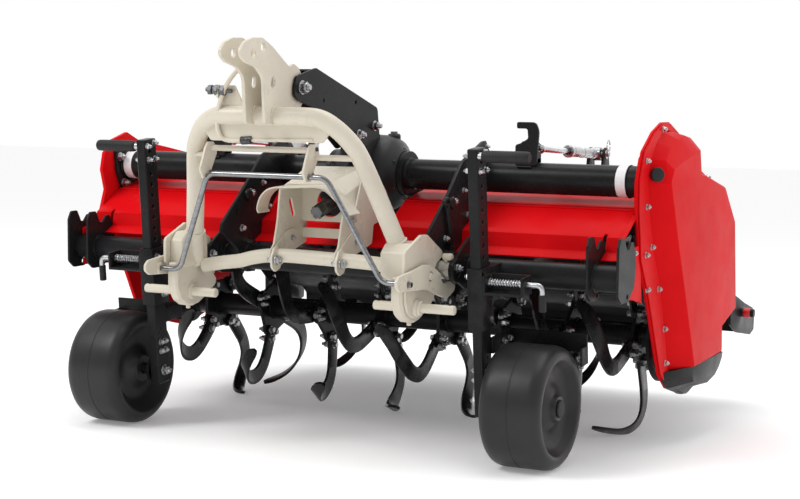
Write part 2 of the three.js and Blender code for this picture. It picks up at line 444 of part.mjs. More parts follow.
// ---------------------------------------------------------------- input shaft and its shield
{
  const across = (line, t, y0, y1) => { // sheet of even thickness with its line in (x, z)
    const up = line.map(([x, z], i) => {
      const p = line[Math.max(0, i - 1)], n = line[Math.min(line.length - 1, i + 1)], d = norm2(n[0] - p[0], n[1] - p[1]);
      return [x - d[1] * t, z + d[0] * t];
    });
    return plateY([...line, ...up.reverse()], y0, y1);
  };
  const canopy = cut(across([[-118, 576], [-124, 590], [-114, 612], [-94, 628], [-70, 634], [42, 638], [70, 630], [100, 606], [131, 574]], 4, -342, -205),
    box(-140, -74, -284, -190, 540, 660), box(88, 150, -283, -190, 540, 660));
  const hump = across([[-84, 630], [-84, 662], [-66, 678], [38, 682], [62, 645], [68, 630]], 4, -250, -188);
  const side = [[-337, 589], [-352, 557], [-366, 500], [-384, 486], [-386, 462], [-372, 450], [-338, 450], [-300, 470], [-196, 494], [-190, 540], [-150, 546], [-110, 564], [-108, 590], [-126, 619], [-164, 654], [-212, 675], [-244, 668], [-280, 588]];
  const sideIn = [[-337, 634], [-352, 557], [-366, 500], [-384, 486], [-386, 462], [-372, 450], [-338, 450], [-300, 470], [-210, 491], [-206, 640], [-240, 650], [-244, 634]];
  const plates = [plateX(sideIn, -62.7, -57.7), plateX(side, 115.7, 120.7)];
  const back = cut(plateY([[-60, 548], [-60, 640], [-70, 664], [40, 670], [118, 594], [118, 548]], -232, -228), rod(inAt(-80), inAt(240), 40, 24));
  const tie = box(-60, 118, -232, -228, 505, 529);
  const feet = [box(-50, -38, -232, -196, 640, 664), box(58, 66, -232, -190, 600, 640)];
  piece('input_shield', cut(join(canopy, hump, ...plates, back, tie), rod(inAt(-80), inAt(64.3), 66.4, 24),
    crossTube(17.4)).decompose().sort((a, b) => b.volume() - a.volume())[0], 'cream');
}
piece('input_shaft', join(rod(inAt(26), inAt(176), 14, 18), rod(inAt(176), inAt(196), 17.2, 18), rod(inAt(70), inAt(84), 19, 18)), 'steel');

// ---------------------------------------------------------------- gauge posts, sleeves and wheels
for (const [side, s] of [['left', -1], ['right', 1]]) {
  const X = (v) => s * v, lo = (a, b) => Math.min(X(a), X(b)), hi = (a, b) => Math.max(X(a), X(b));
  // the post's own frame: origin at the wheel axle, Z up the post
  const postGroup = new THREE.Group();
  postGroup.position.set(0, WHEEL_Y, WHEEL_R);
  postGroup.rotation.x = POST_LEAN;
  machine.add(postGroup);
  const outerX = POST_X + POST_W / 2, holes = [];
  for (let i = 0; i < 8; i++) holes.push(rodX(lo(430, 490), hi(430, 490), -2, 345 + 28 * i, 5, 6));
  const post = box(lo(POST_X - POST_W / 2, outerX), hi(POST_X - POST_W / 2, outerX), -POST_D / 2, POST_D / 2, -34, 600);
  const grip = rodX(lo(outerX - 2, 610), hi(outerX - 2, 610), -14, 583, 14, 16);
  const axle = rodX(lo(outerX - 2, 612), hi(outerX - 2, 612), 0, 0, 12, 18);
  const hub = rodX(lo(outerX - 2, 492), hi(outerX - 2, 492), 0, 0, 26, 20);
  const arm = box(lo(outerX - 2, outerX + 8), hi(outerX - 2, outerX + 8), 20, 132, 112, 150);
  const blade = join(box(lo(outerX, 674), hi(outerX, 674), 126, 132, 104, 150), box(lo(668, 674), hi(668, 674), 92, 132, 78, 122));
  piece(`gauge_post_${side}`, cut(join(post, grip, axle, hub, arm, blade), ...holes), 'black', postGroup);

  const w = WHEEL_W / 2, r = WHEEL_R;
  const prof = [[-w + 46, 30], [-w + 8, 34], [-w + 34, 58], [-w + 34, 84], [-w + 3, 114], [-w + 3, 133], [-w + 22, r],
    [w - 22, r], [w - 3, 133], [w - 3, 114], [w - 34, 84], [w - 34, 58], [w - 8, 34], [w - 8, 0], [-w + 46, 0]];
  prof.unshift([-w + 46, 0]); prof.pop();
  const wheel = cut(turnedX(prof, 30), rodX(-w - 5, w - 12, 0, 0, 13.2, 20));
  const wm = piece(`gauge_wheel_${side}`, s > 0 ? wheel : mirrorX(wheel), 'rubber');
  wm.position.set(X(WHEEL_X), WHEEL_Y, WHEEL_R);

  // sleeve on the front beam, same lean as the post
  const sl = new THREE.Group();
  sl.position.copy(postGroup.position); sl.rotation.copy(postGroup.rotation);
  machine.add(sl);
  const g = 1.2, wall = 5, ox = outerX + g + wall, ix = POST_X - POST_W / 2 - g - wall;
  const zs = 176, zt = 322;
  const tube = cut(box(lo(ix, ox), hi(ix, ox), -POST_D / 2 - g - wall, POST_D / 2 + g + wall, zs, zt),
    box(lo(ix + wall, ox - wall), hi(ix + wall, ox - wall), -POST_D / 2 - g, POST_D / 2 + g, zs - 10, zt + 10));
  const back = POST_D / 2 + g;
  const link = [ix + 1, ox - 7].map((x) => box(lo(x, x + 6), hi(x, x + 6), back + 2, back + 78, zs + 60, zt - 4));
  const pinBox = cut(box(lo(ox - 1, 580), hi(ox - 1, 580), -30, 24, 262, 306), box(lo(ox + 5, 574), hi(ox + 5, 574), -40, 18, 268, 312));
  // beam in the post's frame
  const by = BEAM_Y - WHEEL_Y, bz = BEAM_Z - WHEEL_R;
  const cy = by * Math.cos(POST_LEAN) + bz * Math.sin(POST_LEAN), cz = -by * Math.sin(POST_LEAN) + bz * Math.cos(POST_LEAN);
  piece(`post_sleeve_${side}`, cut(join(tube, ...link, pinBox), rodX(-900, 900, cy, cz, BEAM_R + 0.5, 28)), 'black', sl);
  const pin = bar(rounded([[X(ox + 1), -6, 288], [X(618), -6, 288], [X(618), -6, 228]], 12, 3), 6.5, 8);
  piece(`latch_pin_${side}`, join(pin, rodX(lo(ox + 8, 570), hi(ox + 8, 570), -6, 288, 11, 14)), 'steel', sl);
  const sm = machine;
  if (side === 'left' || side === 'right') {
    const m = sl.children.find((c) => c.name === `post_sleeve_${side}`);
    const hole = rodX(lo(ox - 20, 590), hi(ox - 20, 590), -6, 288, 7.6, 12);
    m.geometry = toGeometry(cut(solid(m.geometry), hole));
  }
}
function mirrorX(m) {
  const g = toGeometry(m); g.scale(-1, 1, 1);
  return flipIfNeeded(solidRaw(g));
}

// ---------------------------------------------------------------- rotor
function tine(side) {
  // stations along one tine: radius, trailing angle, sideways offset, turn of the blade, width
  const st = [[58, 0, 0, 0, 46], [110, 0, 0, 0, 46], [165, 1.5, 0, 0, 44], [203, 6, 0, 4, 42], [229, 14, 2, 14, 40], [244, 24, 10, 34, 38],
    [252, 34, 28, 58, 36], [ROTOR_TIP_R - 9.5, 42, 52, 76, 34], [ROTOR_TIP_R - 7.5, 47, 78, 86, 26]];
  const P = st.map(([r, a, x]) => { const t = a * Math.PI / 180; return V3(side * x, r * Math.sin(t), r * Math.cos(t)); });
  const rings = st.map(([r, a, x, beta, w], i) => {
    const t = a * Math.PI / 180, R = V3(0, Math.sin(t), Math.cos(t)), b = beta * Math.PI / 180;
    const T = P[Math.min(P.length - 1, i + 1)].clone().sub(P[Math.max(0, i - 1)]).normalize();
    const N = V3(side, 0, 0).multiplyScalar(Math.cos(b)).add(R.multiplyScalar(-Math.sin(b)));
    N.addScaledVector(T, -N.dot(T)).normalize();
    const W = T.clone().cross(N).normalize(), h = 4 * (i === st.length - 1 ? 0.7 : 1);
    const q = (u, v) => { const k = P[i].clone().addScaledVector(W, u * w / 2).addScaledVector(N, v * h); return [k.x, k.y, k.z]; };
    return [q(-1, -1), q(1, -1), q(1, 1), q(-1, 1)];
  });
  const cap = [[0, 0], [1, 0], [1, 1], [0, 1]];
  return flipIfNeeded(loft(rings, cap, cap));
}
const rotor = new THREE.Group();
rotor.position.set(0, ROTOR_Y, ROTOR_Z);
machine.add(rotor);
piece('rotor_shaft', join(
  rodX(-730, 706, 0, 0, ROTOR_TUBE_R, 20),
  rodX(-764, -725, 0, 0, 20, 20), rodX(700, 748, 0, 0, 22, 20),
  rodX(702, 712, 0, 0, 114, 32), rodX(-738, -730, 0, 0, 60, 20),
), 'black', rotor);
FLANGE_X.forEach((x, k) => {
  const holder = new THREE.Group();
  holder.position.x = x;
  const turn = ROTOR_REST - ((k * 3) % 4) * 22.5;
  holder.rotation.x = turn * Math.PI / 180;
  rotor.add(holder);
  const bore = rodX(-20, 20, 0, 0, ROTOR_TUBE_R + 0.4, 20).rotate([-turn, 0, 0]);
  const disc = rodX(-5, 5, 0, 0, 84, 8);
  const tines = [0, 1, 2, 3].map((i) => {
    const side = i % 2 ? -1 : 1;
    const last = (k === FLANGE_X.length - 1), first = (k === 0);
    const sd = last ? -1 : (first ? 1 : side);
    const t = tine(sd).translate([sd > 0 ? 8.5 : -8.5, 0, 0]);
    return t.rotate([i * 90, 0, 0]);
  });
  piece(`tine_flange_${k + 1}`, cut(join(disc, ...tines), bore), 'black', holder);
});

// ---------------------------------------------------------------- rear board and pressure struts
const apronLine = [[452, 596], [505, 566], [566, 496], [618, 402], [680, 322], [760, 262], [860, 222], [950, 200]];
{
  const sheet = sheetX(apronLine, 4, -750, 737);
  const barrel = cut(rodX(-700, 690, APRON_Y, APRON_Z, 11, 14));
  const knuckle = sheetX([[APRON_Y, APRON_Z + 2], [456, 594.5]], 7, -700, 690);
  const lip = sheetX([[946, 202], [972, 176], [974, 150]], 5, -750, 737);
  const ribs = [-300, 300].map((x) => plateX([[618, 436], [690, 352], [770, 292], [870, 248], [930, 212], [860, 223], [760, 263], [680, 323], [618, 403]], x - 3, x + 3));
  const ears = [-1, 1].map((s) => join(
    cut(plateX([[452, 590], [505, 562], [512, 590], [492, 700], [476, 706], [460, 700], [446, 640]], s * STRUT_X - 24, s * STRUT_X - 18)),
    cut(plateX([[452, 590], [505, 562], [512, 590], [492, 700], [476, 706], [460, 700], [446, 640]], s * STRUT_X + 18, s * STRUT_X + 24)),
    rodX(s * STRUT_X - 26, s * STRUT_X + 26, STRUT_BY, STRUT_BZ, 5, 12)));
  piece('rear_board', join(sheet, barrel, knuckle, lip, ...ribs, ...ears), 'red');
  for (const [side, s] of [['left', -1], ['right', 1]]) {
    const x0 = s > 0 ? 737.3 : -768, x1 = s > 0 ? 768 : -750.3;
    const arm = plateX([[742, 286], [762, 292], [880, 250], [962, 226], [980, 200], [976, 160], [940, 150], [800, 176], [742, 206]], s > 0 ? 744 : -768, s > 0 ? 750 : -762);
    const lugs = plateX([[770, 262 + 8], [920, 214 + 8], [930, 196], [770, 244]], x0, s > 0 ? 746 : -760);
    const knob = rodX(s > 0 ? 750 - 2 : -786, s > 0 ? 786 : -766, 850, 226, 12, 14);
    piece(`board_end_${side}`, cut(join(arm, lugs, knob)), 'black');
  }
}
for (const [side, s] of [['left', -1], ['right', 1]]) {
  const x = s * STRUT_X;
  const hook = plateY([[x - 26, 686], [x + 30, 686], [x + 36, 770], [x + 28, 792], [x - 22, 792], [x - 22, 776], [x + 6, 776], [x + 8, 752], [x - 12, 740], [x - 26, 736]], -26, -18);
  const ears = [-19, 13].map((d) => plateX([[-22, 690], [-22, 735], [4, 744], [28, 738], [34, 720], [30, 686]], x + d, x + d + 6));
  const saddle = join(box(x - 19, x + 19, -26, 34, 684, 702));
  const pivot = rodX(x - 22, x + 22, STRUT_AY, STRUT_AZ, 6, 14);
  piece(`strut_hook_${side}`, cut(join(hook, ...ears, saddle, pivot), rodX(-900, 900, 0, TUBE_Z, TUBE_R + GAP, 28)), 'black');
  const A = V3(x, STRUT_AY, STRUT_AZ), B = V3(x, STRUT_BY, STRUT_BZ), u = B.clone().sub(A).normalize();
  const at = (t) => A.clone().addScaledVector(u, t);
  const bore = rodX(x - 20, x + 20, STRUT_AY, STRUT_AZ, 7, 12);
  piece(`strut_rod_${side}`, cut(join(rodX(x - 11, x + 11, STRUT_AY, STRUT_AZ, 13, 14), rod(at(5), at(338), 8, 10), rod(at(52), at(60), 13, 12)), bore), 'steel');
  const eye = join(rod(at(250), at(444), 13.5, 14), rod(at(243), at(256), 16.5, 14), rod(at(436), at(450), 10, 12), rodX(x - 10, x + 10, STRUT_BY, STRUT_BZ, 18, 16));
  piece(`strut_sleeve_${side}`, cut(eye, rod(at(230), at(436), 9.2, 10), rodX(x - 20, x + 20, STRUT_BY, STRUT_BZ, 12.2, 14)), 'steel');
}

export default group;
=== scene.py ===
import json
import math
import random

import bmesh
import bpy
import numpy as np
from mathutils import Matrix, Vector
from mathutils.geometry import tessellate_polygon

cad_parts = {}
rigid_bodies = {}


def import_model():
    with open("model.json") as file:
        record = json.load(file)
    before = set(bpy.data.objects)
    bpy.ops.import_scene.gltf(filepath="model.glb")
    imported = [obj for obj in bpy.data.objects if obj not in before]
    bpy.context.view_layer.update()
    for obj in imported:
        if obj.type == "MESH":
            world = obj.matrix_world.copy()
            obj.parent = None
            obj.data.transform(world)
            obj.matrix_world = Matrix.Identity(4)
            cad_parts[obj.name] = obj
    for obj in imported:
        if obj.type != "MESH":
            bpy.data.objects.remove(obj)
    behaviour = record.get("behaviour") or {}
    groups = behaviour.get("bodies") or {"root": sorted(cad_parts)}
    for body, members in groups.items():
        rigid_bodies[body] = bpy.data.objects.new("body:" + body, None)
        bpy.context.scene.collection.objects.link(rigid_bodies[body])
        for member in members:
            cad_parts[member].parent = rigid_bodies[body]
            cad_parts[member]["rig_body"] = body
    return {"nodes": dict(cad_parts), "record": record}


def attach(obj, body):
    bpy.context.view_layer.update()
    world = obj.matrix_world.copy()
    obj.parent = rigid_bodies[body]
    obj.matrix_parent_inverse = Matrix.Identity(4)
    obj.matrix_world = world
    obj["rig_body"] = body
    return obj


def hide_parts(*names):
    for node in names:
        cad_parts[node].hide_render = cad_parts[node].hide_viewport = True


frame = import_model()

random.seed(7)
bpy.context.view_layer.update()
SCENE = bpy.context.scene

# ------------------------------------------------------------------ machine frame
# Shapes are written in the machine's own frame in millimetres: X = 0 is the middle
# between the wheels, Y = 0 the cross tube's axis. PARK carries it to the row frame.
PARK = Matrix.Translation((-0.011, -0.122818, 0.012774)) @ Matrix.Rotation(math.radians(2.555), 4, "X")
MM = PARK @ Matrix.Scale(0.001, 4)
GB = 20.0
TUBE_Z, TUBE_R = 653.4, 38.15
SIDE_X = 757.0
BEAM_Y, BEAM_Z, BEAM_R = -200.0, 443.0, 31.75
ROTOR_Y, ROTOR_Z, ROTOR_TUBE_R = 280.0, 236.0, 30.25
ROTOR_REST, ROTOR_TIP_R = 43.5, 264.66
FLANGE_X = [-640, -455, -270, -85, 100, 285, 470, 650]
WHEEL_X, WHEEL_Y, WHEEL_R, WHEEL_W = 580.7, -280.0, 145.25, 157.8
POST_X, POST_W, POST_D = 460.0, 26.0, 50.0
LEAN = math.radians(4.5)
PIPE_R = 21.35
PIN_Y, PIN_Z, PIN_R = -410.0, 377.0, 11.0
IN_PITCH = math.radians(15.5)
IN_DIR = Vector((0, -math.cos(IN_PITCH), -math.sin(IN_PITCH)))
IN_O = Vector((GB, -110.0, 626.0))
STRUT_X, A_YZ, B_YZ = 452.0, (15.0, 727.0), (475.0, 688.0)
COUPLE = (-285.0, 452.0)
APRON = (430.0, 594.0)


def in_at(t):
    return IN_O + IN_DIR * t


POST = Matrix.Translation((0, WHEEL_Y, WHEEL_R)) @ Matrix.Rotation(LEAN, 4, "X")

# ------------------------------------------------------------------ camera
fw = Vector((-math.sin(0.47459) * math.cos(0.11246), math.cos(0.47459) * math.cos(0.11246), -math.sin(0.11246)))
rt = Vector((math.cos(0.47459), math.sin(0.47459), 0))
up = rt.cross(fw)
cam_data = bpy.data.cameras.new("camera")
cam_data.sensor_fit = "HORIZONTAL"
cam_data.sensor_width = 36.0
cam_data.lens = 1761.3 * 36.0 / 800.0
cam_data.clip_start, cam_data.clip_end = 0.1, 60.0
cam = bpy.data.objects.new("camera", cam_data)
SCENE.collection.objects.link(cam)
basis = Matrix((rt, up, -fw)).transposed().to_4x4()
cam.matrix_world = PARK @ Matrix.Translation((2.14967, -3.99925, 0.96561)) @ basis
SCENE.camera = cam

# ------------------------------------------------------------------ materials


def new_mat(name):
    m = bpy.data.materials.new(name)
    m.use_nodes = True
    nt = m.node_tree
    return m, nt, nt.nodes["Principled BSDF"]


def noise(nt, scale, detail=4.0, rough=0.55, coord=None):
    n = nt.nodes.new("ShaderNodeTexNoise")
    n.inputs["Scale"].default_value = scale
    n.inputs["Detail"].default_value = detail
    n.inputs["Roughness"].default_value = rough
    if coord is None:
        coord = nt.nodes.get("coords") or nt.nodes.new("ShaderNodeTexCoord")
        coord.name = "coords"
    nt.links.new(coord.outputs["Object"], n.inputs["Vector"])
    return n


def remap(nt, src, lo, hi, a=0.35, b=0.65):
    r = nt.nodes.new("ShaderNodeMapRange")
    r.inputs["From Min"].default_value, r.inputs["From Max"].default_value = a, b
    r.inputs["To Min"].default_value, r.inputs["To Max"].default_value = lo, hi
    nt.links.new(src, r.inputs["Value"])
    return r.outputs["Result"]


def mix_colour(nt, fac, a, b):
    n = nt.nodes.new("ShaderNodeMix")
    n.data_type = "RGBA"
    nt.links.new(fac, n.inputs["Factor"])
    n.inputs["A"].default_value = (*a, 1)
    n.inputs["B"].default_value = (*b, 1)
    return n.outputs["Result"]


def mix_link(nt, fac, a_out, b):
    n = nt.nodes.new("ShaderNodeMix")
    n.data_type = "RGBA"
    nt.links.new(fac, n.inputs["Factor"])
    nt.links.new(a_out, n.inputs["A"])
    n.inputs["B"].default_value = (*b, 1)
    return n.outputs["Result"]


def bump(nt, bsdf, height_out, strength, distance):
    b = nt.nodes.new("ShaderNodeBump")
    b.inputs["Strength"].default_value = strength
    b.inputs["Distance"].default_value = distance
    nt.links.new(height_out, b.inputs["Height"])
    nt.links.new(b.outputs["Normal"], bsdf.inputs["Normal"])
    return b


def paint(name, base, dark, light, rough=(0.24, 0.36), coat=0.0, grain=700.0, grain_depth=0.00004, wear=None, metallic=0.0, spec=0.5):
    """Sprayed coat: faint cloudiness, fine orange peel, a little bare edge."""
    m, nt, p = new_mat(name)
    cloud = noise(nt, 7.0, 3.0)
    col = mix_colour(nt, remap(nt, cloud.outputs["Fac"], 0, 1), dark, light)
    fine = noise(nt, 42.0, 6.0, 0.7)
    if wear:
        geo = nt.nodes.new("ShaderNodeNewGeometry")
        edge = remap(nt, geo.outputs["Pointiness"], 0, 1, 0.53, 0.60)
        spots = remap(nt, fine.outputs["Fac"], 0, 1, 0.56, 0.62)
        mul = nt.nodes.new("ShaderNodeMath")
        mul.operation = "MULTIPLY"
        nt.links.new(edge, mul.inputs[0])
        nt.links.new(spots, mul.inputs[1])
        mul2 = nt.nodes.new("ShaderNodeMath")
        mul2.operation = "MULTIPLY"
        mul2.inputs[1].default_value = 0.22
        nt.links.new(mul.outputs[0], mul2.inputs[0])
        col = mix_link(nt, mul2.outputs[0], col, wear)
    nt.links.new(col, p.inputs["Base Color"])
    smudge = noise(nt, 16.0, 5.0, 0.6)
    nt.links.new(remap(nt, smudge.outputs["Fac"], rough[0], rough[1]), p.inputs["Roughness"])
    p.inputs["Metallic"].default_value = metallic
    p.inputs["Specular IOR Level"].default_value = spec
    p.inputs["Coat Weight"].default_value = coat
    p.inputs["Coat Roughness"].default_value = 0.12
    peel = noise(nt, grain, 2.0)
    bump(nt, p, peel.outputs["Fac"], 0.35, grain_depth)
    return m


RED = paint("red_paint", None, (0.60, 0.0035, 0.006), (0.66, 0.005, 0.008), (0.28, 0.38), grain=420.0, grain_depth=0.00003, spec=0.16)
RED.node_tree.nodes["Principled BSDF"].inputs["IOR"].default_value = 1.20
BLACK = paint("black_paint", None, (0.0105, 0.0108, 0.0115), (0.016, 0.0165, 0.0175), (0.24, 0.38), coat=0.0, grain=900.0, grain_depth=0.00004, wear=(0.05, 0.05, 0.052), spec=0.24)
BLACK.node_tree.nodes["Principled BSDF"].inputs["IOR"].default_value = 1.34
CREAM = paint("cream_paint", None, (0.60, 0.545, 0.445), (0.66, 0.605, 0.50), (0.26, 0.38), coat=0.0, grain=600.0, grain_depth=0.00004, spec=0.36)
# painted shade: a darker, rougher black that stands in for shade on faces that look inward or down; also used for the
# dark seam line on the hood
SHADE_AND_SEAM_BLACK = paint("shade_and_seam_black", None, (0.0045, 0.0045, 0.005), (0.008, 0.008, 0.0085), (0.55, 0.70), grain=500.0, grain_depth=0.00006, spec=0.08)
CAST = paint("cast_case", None, (0.0115, 0.012, 0.0125), (0.019, 0.0195, 0.020), (0.34, 0.50), grain=260.0, grain_depth=0.00035, spec=0.32)
TINE = paint("tine_black", None, (0.008, 0.008, 0.0085), (0.016, 0.016, 0.016), (0.20, 0.36), grain=300.0, grain_depth=0.00010, wear=(0.07, 0.065, 0.06), spec=0.30)
PLASTIC = paint("wheel_plastic", None, (0.0165, 0.0165, 0.017), (0.022, 0.022, 0.0225), (0.34, 0.44), grain=800.0, grain_depth=0.00006, spec=0.30)
RUBBER = paint("rubber_grip", None, (0.011, 0.011, 0.0115), (0.017, 0.017, 0.017), (0.50, 0.62), grain=1500.0, grain_depth=0.00008, spec=0.30)


def metal(name, base, other, rough, streak=0.0, scale=(60, 60, 60)):
    m, nt, p = new_mat(name)
    p.inputs["Metallic"].default_value = 1.0
    tc = nt.nodes.new("ShaderNodeTexCoord")
    tc.name = "coords"
    mp = nt.nodes.new("ShaderNodeMapping")
    mp.inputs["Scale"].default_value = scale
    nt.links.new(tc.outputs["Object"], mp.inputs["Vector"])
    n = nt.nodes.new("ShaderNodeTexNoise")
    n.inputs["Scale"].default_value = 1.0
    n.inputs["Detail"].default_value = 6.0
    nt.links.new(mp.outputs["Vector"], n.inputs["Vector"])
    nt.links.new(mix_colour(nt, remap(nt, n.outputs["Fac"], 0, 1), base, other), p.inputs["Base Color"])
    nt.links.new(remap(nt, n.outputs["Fac"], rough[0], rough[1]), p.inputs["Roughness"])
    fine = noise(nt, 1300.0, 2.0)
    bump(nt, p, fine.outputs["Fac"], 0.25, 0.00003)
    return m


STEEL = metal("drawn_steel", (0.20, 0.205, 0.212), (0.29, 0.295, 0.302), (0.18, 0.28), scale=(30, 120, 120))
ZINC = metal("zinc_plate", (0.40, 0.405, 0.415), (0.54, 0.545, 0.555), (0.24, 0.38), scale=(90, 90, 90))
ROD = metal("chrome_rod", (0.50, 0.51, 0.52), (0.62, 0.63, 0.64), (0.16, 0.26), scale=(40, 40, 40))
BOLT = metal("bolt_steel", (0.36, 0.365, 0.37), (0.52, 0.525, 0.53), (0.28, 0.44), scale=(80, 80, 80))
DARKSTEEL = metal("dark_steel", (0.10, 0.10, 0.105), (0.15, 0.15, 0.155), (0.32, 0.46), scale=(60, 60, 60))
WHITE = paint("reflector_band", None, (0.74, 0.74, 0.75), (0.82, 0.82, 0.83), (0.36, 0.46), grain=500.0, grain_depth=0.00003)
REDCAP = paint("red_cap", None, (0.60, 0.01, 0.015), (0.68, 0.014, 0.02), (0.32, 0.42), grain=600.0)

# ------------------------------------------------------------------ mesh tools


class Shape:
    """Points in machine millimetres, and faces."""

    def __init__(self):
        self.v, self.f = [], []

    def add(self, part, m=None):
        verts, faces = part
        o = len(self.v)
        self.v.extend((m @ Vector(p)) if m is not None else Vector(p) for p in verts)
        self.f.extend(tuple(i + o for i in f) for f in faces)
        return self


def frame_of(d):
    d = Vector(d).normalized()
    a = Vector((0, 0, 1)) if abs(d.z) < 0.9 else Vector((1, 0, 0))
    u = a.cross(d).normalized()
    return u, d.cross(u).normalized(), d


def axis_matrix(o, d, roll=0.0):
    u, w, d = frame_of(d)
    m = Matrix((u, w, d)).transposed().to_4x4()
    return Matrix.Translation(Vector(o)) @ m @ Matrix.Rotation(roll, 4, "Z")


def revolve(profile, seg=32, o=(0, 0, 0), d=(0, 0, 1), roll=0.0):
    """profile [(t, r)] along d from o; closes on the axis where r is 0."""
    m = axis_matrix(o, d, roll)
    verts, faces, rings = [], [], []
    for t, r in profile:
        if r <= 1e-6:
            rings.append([len(verts)])
            verts.append(m @ Vector((0, 0, t)))
        else:
            rings.append(list(range(len(verts), len(verts) + seg)))
            for i in range(seg):
                a = 2 * math.pi * i / seg
                verts.append(m @ Vector((r * math.cos(a), r * math.sin(a), t)))
    for p, q in zip(rings, rings[1:]):
        for i in range(seg):
            j = (i + 1) % seg
            if len(p) == 1 and len(q) == 1:
                continue
            if len(p) == 1:
                faces.append((p[0], q[j], q[i]))
            elif len(q) == 1:
                faces.append((p[i], p[j], q[0]))
            else:
                faces.append((p[i], p[j], q[j], q[i]))
    return verts, faces


def cyl(a, b, r, seg=32, ch=0.6):
    a, b = Vector(a), Vector(b)
    L = (b - a).length
    ch = min(ch, r * 0.45, L * 0.45)
    return revolve([(0, 0), (0, r - ch), (ch * 0.3, r - ch * 0.3), (ch, r), (L - ch, r), (L - ch * 0.3, r - ch * 0.3), (L, r - ch), (L, 0)], seg, a, b - a)


def pipe(a, b, r, ri, seg=48, ch=0.5):
    a, b = Vector(a), Vector(b)
    L = (b - a).length
    prof = [(ch, ri), (0, ri + ch), (0, r - ch), (ch, r), (L - ch, r), (L, r - ch), (L, ri + ch), (L - ch, ri), (ch, ri)]
    v, f = revolve(prof, seg, a, b - a)
    return v, f


def smooth_line(points, per=8):
    """Catmull-Rom through points."""
    P = [Vector(p) for p in points]
    P = [P[0] * 2 - P[1]] + P + [P[-1] * 2 - P[-2]]
    out = []
    for i in range(1, len(P) - 2):
        for k in range(per):
            t = k / per
            a, b, c, d = P[i - 1], P[i], P[i + 1], P[i + 2]
            out.append(0.5 * ((2 * b) + (-a + c) * t + (2 * a - 5 * b + 4 * c - d) * t * t + (-a + 3 * b - 3 * c + d) * t ** 3))
    out.append(P[-2])
    return out


def bend_line(points, radius, n=8):
    P = [Vector(p) for p in points]
    out = [P[0]]
    for i in range(1, len(P) - 1):
        A, B = P[i - 1] - P[i], P[i + 1] - P[i]
        r = min(radius, A.length * 0.48, B.length * 0.48)
        a, b = P[i] + A.normalized() * r, P[i] + B.normalized() * r
        for k in range(n + 1):
            t = k / n
            out.append(a * (1 - t) ** 2 + P[i] * 2 * t * (1 - t) + b * t * t)
    out.append(P[-1])
    return out


def sweep(points, r, sides=16, caps=True, chamfer=0.0):
    P = [Vector(p) for p in points]
    n = len(P)
    rad = r if hasattr(r, "__len__") else [r] * n
    T = []
    for i in range(n):
        t = Vector((0, 0, 0))
        if i > 0:
            t += (P[i] - P[i - 1]).normalized()
        if i < n - 1:
            t += (P[i + 1] - P[i]).normalized()
        T.append(t.normalized())
    u = frame_of(T[0])[0]
    verts, faces = [], []
    for i in range(n):
        u = (u - T[i] * u.dot(T[i])).normalized()
        w = T[i].cross(u)
        for k in range(sides):
            a = 2 * math.pi * k / sides
            verts.append(P[i] + (u * math.cos(a) + w * math.sin(a)) * rad[i])
    for i in range(n - 1):
        for k in range(sides):
            j = (k + 1) % sides
            faces.append((i * sides + k, i * sides + j, (i + 1) * sides + j, (i + 1) * sides + k))
    if caps:
        for base, t, s in ((0, -T[0], 1), ((n - 1) * sides, T[-1], -1)):
            c = len(verts)
            rr = rad[0] if base == 0 else rad[-1]
            cen = P[0] if base == 0 else P[-1]
            ring = []
            for k in range(sides):
                p = verts[base + k]
                ring.append(len(verts))
                verts.append(cen + (p - cen) * 0.86 + t * rr * 0.10)
            for k in range(sides):
                j = (k + 1) % sides
                faces.append((base + k, base + j, ring[j], ring[k]))
            faces.append(tuple(ring))
    return verts, faces


def helix(a, b, R, r, turns, sides=8, per=20, lead=0.6):
    a, b = Vector(a), Vector(b)
    u, w, d = frame_of(b - a)
    L = (b - a).length
    n = int(turns * per)
    pts = []
    for i in range(n + 1):
        t = i / n
        ang = 2 * math.pi * turns * t
        pts.append(a + d * (r + t * (L - 2 * r)) + (u * math.cos(ang) + w * math.sin(ang)) * R)
    return sweep(pts, r, sides)


def round_poly(pts, r, n=4):
    """2-D outline with its corners rounded."""
    out, m = [], len(pts)
    rad = r if hasattr(r, "__len__") else [r] * m
    for i in range(m):
        p, a, b = Vector(pts[i]), Vector(pts[i - 1]), Vector(pts[(i + 1) % m])
        A, B = a - p, b - p
        ang = A.angle(B) if A.length and B.length else math.pi
        if ang > math.radians(172) or rad[i] <= 0:
            out.append(tuple(p))
            continue
        cutb = min(rad[i] / math.tan(ang / 2), A.length * 0.46, B.length * 0.46)
        pa, pb = p + A.normalized() * cutb, p + B.normalized() * cutb
        for k in range(n + 1):
            t = k / n
            out.append(tuple(pa * (1 - t) ** 2 + p * 2 * t * (1 - t) + pb * t * t))
    return out


def offset_loop(loop, d):
    """Moves a closed 2-D loop by d to its left."""
    m, out = len(loop), []
    for i in range(m):
        p, a, b = Vector(loop[i]), Vector(loop[i - 1]), Vector(loop[(i + 1) % m])
        e1, e2 = (p - a), (b - p)
        if e1.length < 1e-6 or e2.length < 1e-6:
            out.append(tuple(p))
            continue
        n1, n2 = Vector((-e1.y, e1.x)).normalized(), Vector((-e2.y, e2.x)).normalized()
        nn = n1 + n2
        if nn.length < 1e-6:
            nn = n1
        nn.normalize()
        out.append(tuple(p + nn * d / max(0.5, nn.dot(n1))))
    return out


def area2(loop):
    return 0.5 * sum(loop[i - 1][0] * loop[i][1] - loop[i][0] * loop[i - 1][1] for i in range(len(loop)))


